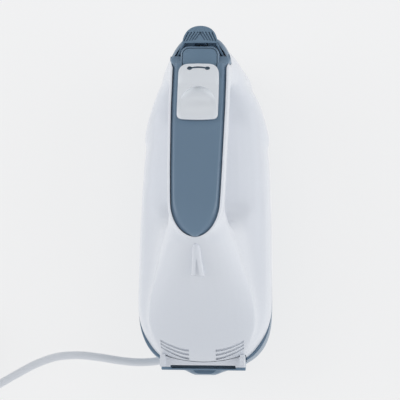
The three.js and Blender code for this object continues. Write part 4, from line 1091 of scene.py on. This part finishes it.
    def rear_bulge(self, x: np.ndarray, y: np.ndarray, z: np.ndarray) -> np.ndarray:
        """Shift that rounds the lower housing out under the heel."""
        amount = self.bulge * smooth_rise(-y, 90, 103) * np.clip(1 - (x / 27) ** 4, 0, 1) * np.clip(
            1 - ((z - 27) / 16) ** 2, 0, 1)
        return np.stack([0 * x, -amount, 0 * z], axis=1)

    def shift(self, piece: bpy.types.Object, field_of: Callable[..., np.ndarray]) -> None:
        """Moves a mesh's points by a field of shifts in millimetres."""
        flat = np.empty(len(piece.data.vertices) * 3)
        piece.data.vertices.foreach_get("co", flat)
        at = flat.reshape(-1, 3) / MM
        at = at + field_of(at[:, 0], at[:, 1], at[:, 2])
        piece.data.vertices.foreach_set("co", (at * MM).ravel())
        piece.data.update()

    def heel_seat(self) -> bpy.types.Object:
        """Cutter of the recess that the heel rest fills, with its front wall bowed to the rear."""
        return prism("heel_seat", heel_plan(self.heel_half + 0.3, -112, -95, -99.7), 39.2, 66)

    def screw_heads(self) -> bpy.types.Object:
        """Pan heads with cross recesses, sunk in the lower housing."""
        recipe = NodeRecipe("housing_screws")
        radius = recipe.size("Head radius", 3.4 * MM)
        depth = recipe.size("Head depth", 3.0 * MM)
        head = recipe.add("GeometryNodeMeshCylinder", {"Vertices": 32, "Radius": radius, "Depth": depth})
        stem = recipe.add("GeometryNodeMeshCylinder",
                          {"Vertices": 16, "Radius": recipe.size("Stem radius", 1.5 * MM),
                                                       "Depth": recipe.size("Stem length", 38.0 * MM)})
        lifted = recipe.add("GeometryNodeTransform", {"Geometry": stem.outputs["Mesh"],
                                                      "Translation": (0, 0, 19.5 * MM)})
        whole = recipe.add("GeometryNodeMeshBoolean", {"Mesh 2": head.outputs["Mesh"]}, operation="UNION",
                           solver="EXACT")
        recipe.tree.links.new(lifted.outputs["Geometry"], whole.inputs["Mesh 2"])
        wing = recipe.add("GeometryNodeMeshCube", {"Size": (4.4 * MM, 0.9 * MM, 2.4 * MM)})
        other = recipe.add("GeometryNodeMeshCube", {"Size": (0.9 * MM, 4.4 * MM, 2.4 * MM)})
        cross = recipe.add("GeometryNodeMeshBoolean", {"Mesh 2": wing.outputs["Mesh"]}, operation="UNION",
                           solver="EXACT")
        recipe.tree.links.new(other.outputs["Mesh"], cross.inputs["Mesh 2"])
        sunk = recipe.add("GeometryNodeTransform", {"Geometry": cross.outputs["Mesh"],
                                                    "Translation": (0, 0, -1.5 * MM)})
        cut = recipe.add("GeometryNodeMeshBoolean",
                         {"Mesh 1": whole.outputs["Mesh"], "Mesh 2": sunk.outputs[0]},
                         operation="DIFFERENCE", solver="EXACT")
        turn = recipe.add("GeometryNodeInputNamedAttribute", {"Name": "turn"}, data_type="FLOAT")
        angle = recipe.add("ShaderNodeCombineXYZ", {"Z": turn.outputs[0]})
        spread = recipe.add("GeometryNodeInstanceOnPoints", {
            "Points": recipe.source.outputs["Geometry"], "Instance": cut.outputs["Mesh"],
            "Rotation": recipe.add("FunctionNodeEulerToRotation", {0: angle.outputs[0]}).outputs[0]})
        recipe.finish(spread.outputs[0], Finish.STEEL.material())
        made = recipe.run("housing_screws", dots([(x, y, self.screw_z) for x, y in self.screws],
                                                 [0.3, 1.0, 0.7, 0.1]))
        return polish(made, 30)

    def build(self, cover_seat: bpy.types.Object) -> list[bpy.types.Object]:
        """Builds both housings round the cover's seat.

        Args:
            cover_seat: closed form that the cover fills, which is used up.

        Returns:
            The finished pieces.
        """
        upper = self.outer_mesh()
        lower = new_object("lower_housing_shell", upper.data.copy())
        upper.name = "upper_housing_shell"
        carve(upper, self.half_space(False, Form.gap), how="INTERSECT")
        self.shift(upper, self.tucked_corner)
        self.shift(lower, self.rear_bulge)
        carve(upper, self.fin(), how="UNION")
        carve(upper, cover_seat, self.vents(), self.heel_seat())
        carve(lower, self.half_space(True, Form.gap), how="INTERSECT")
        x, y = self.spindle
        pocket = round_sweep("pocket", smooth_path(self.relief_bore, 1.5), lambda share: 5.0, 20)
        heads = [prism("head", disc(a, b, self.head_pocket, 24), -2, self.screw_z + 1.9) for a,
                 b in self.screws]
        sockets = [prism("socket", disc(s * x, y, self.collar_bore, 40), -2, 12) for s in (-1, 1)]
        carve(lower, *sockets, pocket, *heads, self.heel_seat())
        pieces = [upper, lower]
        for piece, finish, nodes, slot in (
                (upper, Finish.WHITE_ABS, ("upper_housing", "handle_grip"), "white_abs"),
                (lower, Finish.BLUE_GREY_ABS, ("lower_housing",), "blue_grey_abs")):
            wear(piece, finish.material())
            polish(piece, 34)
            present(piece, "housing", slot, *nodes)
        screws = self.screw_heads()
        present(screws, "housing", "steel", *(f"housing_screw_{i}" for i in range(1, 5)))
        pieces.append(screws)
        return pieces


# ------------------------------------------------------------------ cover, slider and lever
@dataclass
class TopCover:
    """Blue-grey inlay of the handle in one moulding with the nose cap, and its scale panel."""

    depth: float = 3.2
    cap_base: float = 96.5
    cap_floor: float = 2.0
    platform_half: float = 11.7
    roll: float = 2.6
    end_roll: float = 2.0
    end_drop: float = 1.0
    end_drop_start: float = 22.5
    platform: tuple[float, float] = (70.0, 90.3)

    @property
    def platform_top(self) -> float:
        """Height of the raised platform."""
        return Form.handle_top(84) + 0.4

    def strip(self, grow: float, depth: float) -> bpy.types.Object:
        """Inlay of the handle with rolled edges, grown by a margin."""
        rings: list[tuple[float, Ring]] = []
        tip = [-6 - (21 + grow) * math.sin(math.pi / 2 * i / 14) * 0.9996 for i in range(14, 0, -1)]
        for y in [*tip, *steps_between(-6, 80.5 if grow > 0 else 79.8, 1.5)]:
            half, top = max(Form.strip_half(y, grow), 0.3), Form.handle_top(y)
            if grow > 0:
                rings.append((y, mirrored([(0, top + 6), (half, top + 6), (half, top - depth),
                                           (0, top - depth)])))
                continue
            low, roll = top - depth, min(self.roll + self.end_roll * eased(-y, 4, 20), half * 0.6)
            top -= self.end_drop * max((-y - self.end_drop_start) / (27 - self.end_drop_start), 0.0) ** 2
            rings.append((y, mirrored([*bend((0, top + 0.6), (half * 0.5, top + 0.6),
                                             (half - roll, top + 0.25), 6),
                                       *bend((half - roll, top + 0.25), (half - roll * 0.55, top),
                                             (half, top - 2.5), 8),
                                       (half, top - 2.5), (half, low), (0, low)])))
        return loft("inlay", rings)

    def cap(self, grow: float) -> bpy.types.Object:
        """Nose cap behind and under the press tongue."""
        rings: list[tuple[float, Ring]] = []
        for y in [*steps_between(76, 97.4, 0.9), 98.0, 98.4]:
            half = Form.cap_half(y) + grow
            base = self.cap_base + 1.4 * (85 - y) / 12 - grow
            top = max(Form.handle_top(min(y, 90)) - 4.3 - max(y - 85, 0) * 0.35, 102)
            rings.append((y, mirrored([
                *bend((0, top + 1.2 + grow), (half * 0.6, top + 1.2 + grow), (half - 3.4, top + 0.4 + grow),
                      4),
                *bend((half - 3.4, top + 0.4 + grow), (half - 0.4, top - 0.6), (half, base + 3), 6),
                (half, base + 3), (half, base), (0, base)])))
        return loft("cap", rings)

    def rounded(self, name: str, half: float, rear: float, front: float, radius: float, low: float,
                high: float) -> bpy.types.Object:
        """Slab with square rear corners and round front ones."""
        corner = [(half - radius + radius * math.cos(a), front - radius + radius * math.sin(a))
                  for a in (math.pi / 2 * i / 8 for i in range(9))]
        return prism(name, [(-half, rear), (half, rear), *corner, *((-x, y) for x, y in reversed(corner))],
                     low, high)

    def seat(self) -> bpy.types.Object:
        """Form that the cover fills in the housing."""
        seat = self.strip(0.2, self.depth + 1.2)
        return carve(seat, self.cap(0.25), self.cheeks(0.25),
                     block((-11.9, 11.9), (60, 90.5), (99.7, 140)), how="UNION")

    def cheeks(self, grow: float) -> bpy.types.Object:
        """Shoulders that lead from the inlay down into the nose cap, over the lever's pin."""
        rings: list[tuple[float, Ring]] = []
        for y in steps_between(77.4, 84.6, 0.6):
            t = (y - 77.4) / 7.2
            half, top = Form.cap_half(y) - 0.1 + grow, Form.handle_top(y) - 0.2 - 2.4 * t ** 1.6
            if grow > 0:
                rings.append((y, mirrored([(0, top + 9), (half, top + 9), (half, 104), (0, 104)])))
                continue
            rings.append((y, mirrored([*bend((0, top), (half * 0.7, top), (half - 2.4, top - 0.2), 5),
                                       *bend((half - 2.4, top - 0.2), (half - 0.2, top - 0.5),
                                             (half, top - 2.6), 6),
                                       (half, top - 2.6), (half, 107.6 - 0.4 * t), (0, 107.6 - 0.4 * t)])))
        return loft("cheeks", rings)

    def pocket(self) -> bpy.types.Object:
        """Room for the lever's tongue and arms."""
        half = [(7.6, 91), (10.4, 89.4), (12, 87.2), (12, 82), (16.2, 82), (16.1, 84.5), (14.3, 88),
                (10.8, 93),
                (8.5, 100)]
        return prism("pocket", [(-x, y) for x, y in reversed(half)] + half, self.cap_base + self.cap_floor,
                     125)

    def build(self) -> list[bpy.types.Object]:
        """Builds the cover and the panel."""
        top = self.platform_top
        cover = self.strip(0.0, self.depth)
        carve(cover, self.cap(0.0), how="UNION")
        carve(cover, self.pocket())
        carve(cover, self.cheeks(0.0), how="UNION")
        platform = self.rounded("platform", self.platform_half, *self.platform, 5, 100, top)
        soften(platform, 0.7, 3)
        carve(cover, platform, how="UNION")
        pin_bore = crosswise(prism("bore", disc(*HINGE, 1.5, 16), -20, 20))
        carve(cover, self.rounded("seat", 10.75, 66, 89.3, 4.3, top - 1.5, 125),
              block((-3.2, 3.2), (44, 82), (90, 130)), block((-4, 4), (88.6, 95.4), (90, 99.4)), pin_bore)
        cover.name = "top_cover_moulding"
        panel = self.rounded("scale_panel_plate", 10.4, 70.5, 88.9, 4.0, top - 1.3, top + 0.25)
        soften(panel, 0.3, 2)
        for piece, finish, node in ((cover, Finish.BLUE_GREY_ABS, "top_cover"),
                                    (panel, Finish.BLUE_GREY_GRAINED, "scale_panel")):
            outward(piece)
            wear(piece, finish.material())
            polish(piece, 34)
            present(piece, "housing", "blue_grey_abs", node)
        return [cover, panel]


@dataclass
class SpeedSlider:
    """White slider cap with a scooped thumb hollow and a two-lobed window at its front."""

    rear: float = 43.6
    front: float = 78.0
    half: float = 12.3
    window_y: float = 75.3
    window_half: float = 5.35
    scoop_half: float = 10.7
    scoop_centre: float = 53.4
    scoop_depth: float = 3.1
    low_curve: ClassVar[Profile] = through([(40, 124.6), (46, 123.6), (60, 118.7), (70, 115.2), (82, 113.3)])
    top_curve: ClassVar[Profile] = through([(40, 126.2), (44, 126.8), (50, 126), (57, 123.6), (62, 122.6),
                                            (66, 121.4), (70, 121.0), (82, 118.4)])

    def plan(self) -> list[tuple[float, float]]:
        """Outline from above."""
        h, r, f = self.half, self.rear, self.front
        right = [*bend((0, r - 0.4), (h * 0.5, r - 0.4), (h - 3.2, r), 3),
                 *bend((h - 3.2, r), (h, r + 0.2), (h, r + 3.4), 8),
                 *bend((h, r + 3.4), (h + 0.1, f - 16), (h - 0.15, f - 5.5), 6),
                 *bend((h - 0.15, f - 5.5), (h - 0.5, f - 0.2), (h - 6, f), 10), (h - 6, f), (0, f + 0.2)]
        return right + [(-x, y) for x, y in reversed(right[1:-1])]

    def top(self, y: float) -> float:
        """Height of the cap along the middle."""
        return type(self).top_curve(y)

    def under(self, y: float) -> float:
        """Height of the cap's underside."""
        return type(self).low_curve(y)

    def scoop(self) -> bpy.types.Object:
        """Cutter of the thumb hollow: deepest behind its round front wall, and running out to the rear."""
        rings: list[tuple[float, Ring]] = []
        reach = self.scoop_half
        places = [*steps_between(40, self.scoop_centre, 0.8),
                  *(self.scoop_centre + reach * math.sin(math.pi / 2 * i / 16) for i in range(1, 16)),
                  self.scoop_centre + reach * 0.9995]
        for y in places:
            ahead = max(y - self.scoop_centre, 0.0) / reach
            half = max(reach * math.sqrt(max(1 - ahead * ahead, 0.0)), 0.3)
            depth = self.scoop_depth * eased(y, 42.5, 61.0) + 0.02
            floor_z = self.top(y) - depth
            rings.append((y, mirrored([*bend((0, floor_z), (half * 0.75, floor_z),
                                             (half, self.top(y) - 0.35 * depth), 8),
                                       (half, self.top(y) - 0.35 * depth), (half + 0.4, 140), (0, 140)])))
        return loft("scoop", rings)

    def flag(self) -> bpy.types.Object:
        """Blue-grey plate that shows through the window."""
        z = self.top(self.window_y)
        made = block((-8.2, 8.2), (72.4, 77.0), (z - 3.4, z - 2.4))
        made.name = "window_flag"
        wear(made, Finish.BLUE_GREY_ABS.material())
        return polish(soften(made, 0.2, 2))

    def build(self) -> list[bpy.types.Object]:
        """Builds the cap."""
        rings: list[tuple[float, Ring]] = []
        for y in steps_between(40, 83, 0.8):
            top, low = self.top(y), self.under(y)
            rings.append((y, mirrored([*bend((0, top + 0.5), (8, top + 0.5), (12.3, top - 0.9), 8),
                                       (20, top - 4),
                                       (20, low), (0, low)])))
        crown = loft("crown", rings)
        cap = prism("speed_slider_cap", self.plan(), 100, 140)
        carve(cap, crown, how="INTERSECT")
        carve(cap, self.scoop())
        lobes = [prism("lobe", disc(s * self.window_half, self.window_y, 1.6, 20, 1.15), 100,
                       140) for s in (-1, 1)]
        arch = [*bend((-self.window_half, self.window_y + 0.4), (0, self.window_y + 1.9),
                      (self.window_half, self.window_y + 0.4), 8), (self.window_half, self.window_y + 0.4)]
        slot = prism("slot", arch + [(x, y - 1.1) for x, y in reversed(arch)], 100, 140)
        carve(cap, *lobes, slot)
        soften(cap, 0.55, 3, 40)
        wear(cap, Finish.WHITE_SLIDER.material())
        outward(cap)
        carve(cap, block((-8.6, 8.6), (72, 77.2), (100, self.top(self.window_y) - 1.4)))
        polish(cap, 40)
        present(cap, "slider", "white_abs", "speed_slider")
        flag = self.flag()
        present(flag, "slider", "blue_grey_abs")
        return [cap, flag]


@dataclass
class EjectLever:
    """Press tongue of the nose with slanting grip ribs, and two arms back to its hinge pin."""

    splay: float = 0.52
    arm_root: float = 9.7
    ribs: int = 5

    def tongue(self) -> bpy.types.Object:
        """Rounded tongue cut to its side view."""
        half = [(0, 92.2), (10.8, 92.2), *bend((10.8, 92.2), (10.0, 99.6), (5.4, 102.2), 8)[1:],
                *bend((5.4, 102.2), (3, 103.5), (0, 103.5), 5), (0, 103.5)]
        plan = half + [(-x, y) for x, y in reversed(half[1:-1])]
        tongue = prism("tongue", plan, 90, 120)
        top = through([(92, 112.8), (96, 111.4), (100, 109.6), (103.6, 107.4), (106, 105.6)])
        low = through([(92, 110.6), (94.5, 109.6), (98, 104.6), (106, 99.5)])
        rings = []
        for y in steps_between(92, 106, 0.7):
            crown = top(y)
            rings.append((y, mirrored([*bend((0, crown), (8, crown), (12, crown - 1.6), 6), (15, crown - 3.4),
                                       (15, low(y)), (0, low(y))])))
        carve(tongue, loft("side", rings), how="INTERSECT")
        return soften(tongue, 0.8, 3, 45)

    def grooves(self) -> bpy.types.Object:
        """Cutter of the grip grooves, which lean together towards the tip."""
        recipe = NodeRecipe("grip_grooves")
        sizes = recipe.add("ShaderNodeCombineXYZ", {
            "X": recipe.size("Groove width", 0.7 * MM), "Y": recipe.size("Groove length", 7.0 * MM),
            "Z": recipe.size("Cutter height", 3.2 * MM)})
        bar = recipe.add("GeometryNodeMeshCube", {"Size": sizes.outputs[0]})
        turn = recipe.add("GeometryNodeInputNamedAttribute", {"Name": "turn"}, data_type="FLOAT")
        angle = recipe.add("ShaderNodeCombineXYZ", {"X": -0.33, "Z": turn.outputs[0]})
        spread = recipe.add("GeometryNodeInstanceOnPoints", {
            "Points": recipe.source.outputs["Geometry"], "Instance": bar.outputs["Mesh"],
            "Rotation": recipe.add("FunctionNodeEulerToRotation", {0: angle.outputs[0]}).outputs[0]})
        recipe.finish(spread.outputs[0], Finish.BLUE_GREY_GRAINED.material())
        places: list[Point] = []
        turns: list[float] = []
        for side in (-1, 1):
            for k in range(self.ribs):
                x = 1.1 + 1.8 * k
                places.append((side * x, 96.9 - 0.1 * k, 112.05 - 0.012 * x * x))
                turns.append(side * (0.6 - 0.05 * k))
        return recipe.run("grooves", dots(places, turns))

    def arm(self, side: int) -> bpy.types.Object:
        """One of the two arms."""
        view = [(94, 105), (94, 110), (83.6, 105), (82.8, 103.4), (82.8, 100.6), (83.8, 99.7), (87, 99.7),
                (88.4, 101)]
        made = crosswise(prism("arm", view, -0.7, 0.7))
        shift = side * (self.arm_root + self.splay * 93) * MM
        made.data.transform(Matrix(((1, -side * self.splay, 0, shift), (0, 1, 0, 0), (0, 0, 1, 0),
                                    (0, 0, 0, 1))))
        return soften(made, 0.25, 2)

    def build(self) -> list[bpy.types.Object]:
        """Builds the lever."""
        lever = self.tongue()
        carve(lever, self.grooves())
        push = block((-3, 3), (92.6, 95.2), (93.6, 110))
        carve(lever, self.arm(-1), self.arm(1), push, how="UNION")
        carve(lever, crosswise(prism("bore", disc(*HINGE, 1.35, 16), -17, 17)))
        lever.name = "eject_lever_tongue"
        outward(lever)
        wear(lever, Finish.BLUE_GREY_GRAINED.material())
        polish(lever, 38)
        present(lever, "lever", "blue_grey_abs", "eject_lever")
        return [lever]


@dataclass
class HeelRest:
    """White shelf with two end ribs that the mixer stands on, and the blue-grey pad under it."""

    half: float = 26.5
    rear: float = -103.0
    front: float = -95.3
    top: float = 59.0

    def shelf(self) -> bpy.types.Object:
        """Shelf with its ribs and the slot in its rear face."""
        half, rear, front = self.half, self.rear, self.front
        made = prism("heel_rest_shelf", heel_plan(half, rear, front, -99.95), 50, self.top - 4)
        ribs = [prism("rib", [(s * half, rear), (s * (half - 3), rear), (s * (half - 3), front),
                              (s * half, front)],
                      50, self.top + 1) for s in (-1, 1)]
        carve(made, *ribs, how="UNION")
        carve(made, block((-20.5, 20.5), (-112, rear + 1.1), (40, 60)))
        return soften(made, 0.5, 3)

    def pad(self) -> bpy.types.Object:
        """Pad with rounded lower corners."""
        low, high, r = 39.5, 49.7, 4.0
        right = [(0, low), (self.half - r, low),
                 *((self.half - r + r * math.sin(a), low + r - r * math.cos(a))
                   for a in (math.pi / 2 * i / 6 for i in range(1, 7))), (self.half, high)]
        view = right + [(-x, z) for x, z in reversed(right[1:])]
        made = prism("heel_pad_block", view, 95.3, 104.9)
        made.data.transform(Matrix(((1, 0, 0, 0), (0, 0, -1, 0), (0, 1, 0, 0), (0, 0, 0, 1))))
        outward(made)
        carve(made, block((-20.5, 20.5), (-103.9, -101.2), (43, 52)))
        return soften(made, 0.6, 3)

    def build(self) -> list[bpy.types.Object]:
        """Builds shelf and pad."""
        shelf, pad = self.shelf(), self.pad()
        for piece, finish, node, slot in ((shelf, Finish.WHITE_ABS, "heel_rest", "white_abs"),
                                          (pad, Finish.BLUE_GREY_ABS, "heel_pad", "blue_grey_abs")):
            wear(piece, finish.material())
            outward(piece)
            polish(piece, 40)
            present(piece, "housing", slot, node)
        return [shelf, pad]


class Mechanism:
    """Packed inner parts that stay as they are and only get their finish."""

    finishes: dict[str, Finish] = {
        "acetal": Finish.ACETAL, "steel": Finish.STEEL, "black_nylon": Finish.BLACK_NYLON,
        "lamination": Finish.LAMINATION, "copper": Finish.COPPER, "brass": Finish.BRASS,
        "bronze": Finish.BRONZE,
        "alloy": Finish.ALLOY, "carbon": Finish.CARBON, "board": Finish.PAPER_BOARD,
        "white_pvc": Finish.WHITE_PVC,
        "white_abs": Finish.WHITE_ABS, "blue_grey_abs": Finish.BLUE_GREY_ABS}

    def build(self) -> list[bpy.types.Object]:
        """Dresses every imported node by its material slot."""
        dressed = []
        for part in frame["record"]["subparts"]:
            node = bpy.data.objects.get(part["node"])
            if node is not None:
                wear(node, self.finishes[part["material_slot"]].material())
                dressed.append(node)
        return dressed


def main() -> None:
    """Builds the mixer in order and reports each piece."""
    Studio().build()
    LOG.info("lead: %s", [p.name for p in MainsLead().build()])
    cover = TopCover()
    LOG.info("housing: %s", [p.name for p in Housing().build(cover.seat())])
    for part in (cover, SpeedSlider(), EjectLever(), HeelRest()):
        for piece in part.build():
            LOG.info("%s with %d faces", piece.name, len(piece.data.polygons))
    LOG.info("packed nodes dressed: %d", len(Mechanism().build()))


if __name__ == "__main__":
    logging.basicConfig(level=logging.INFO)
    main()
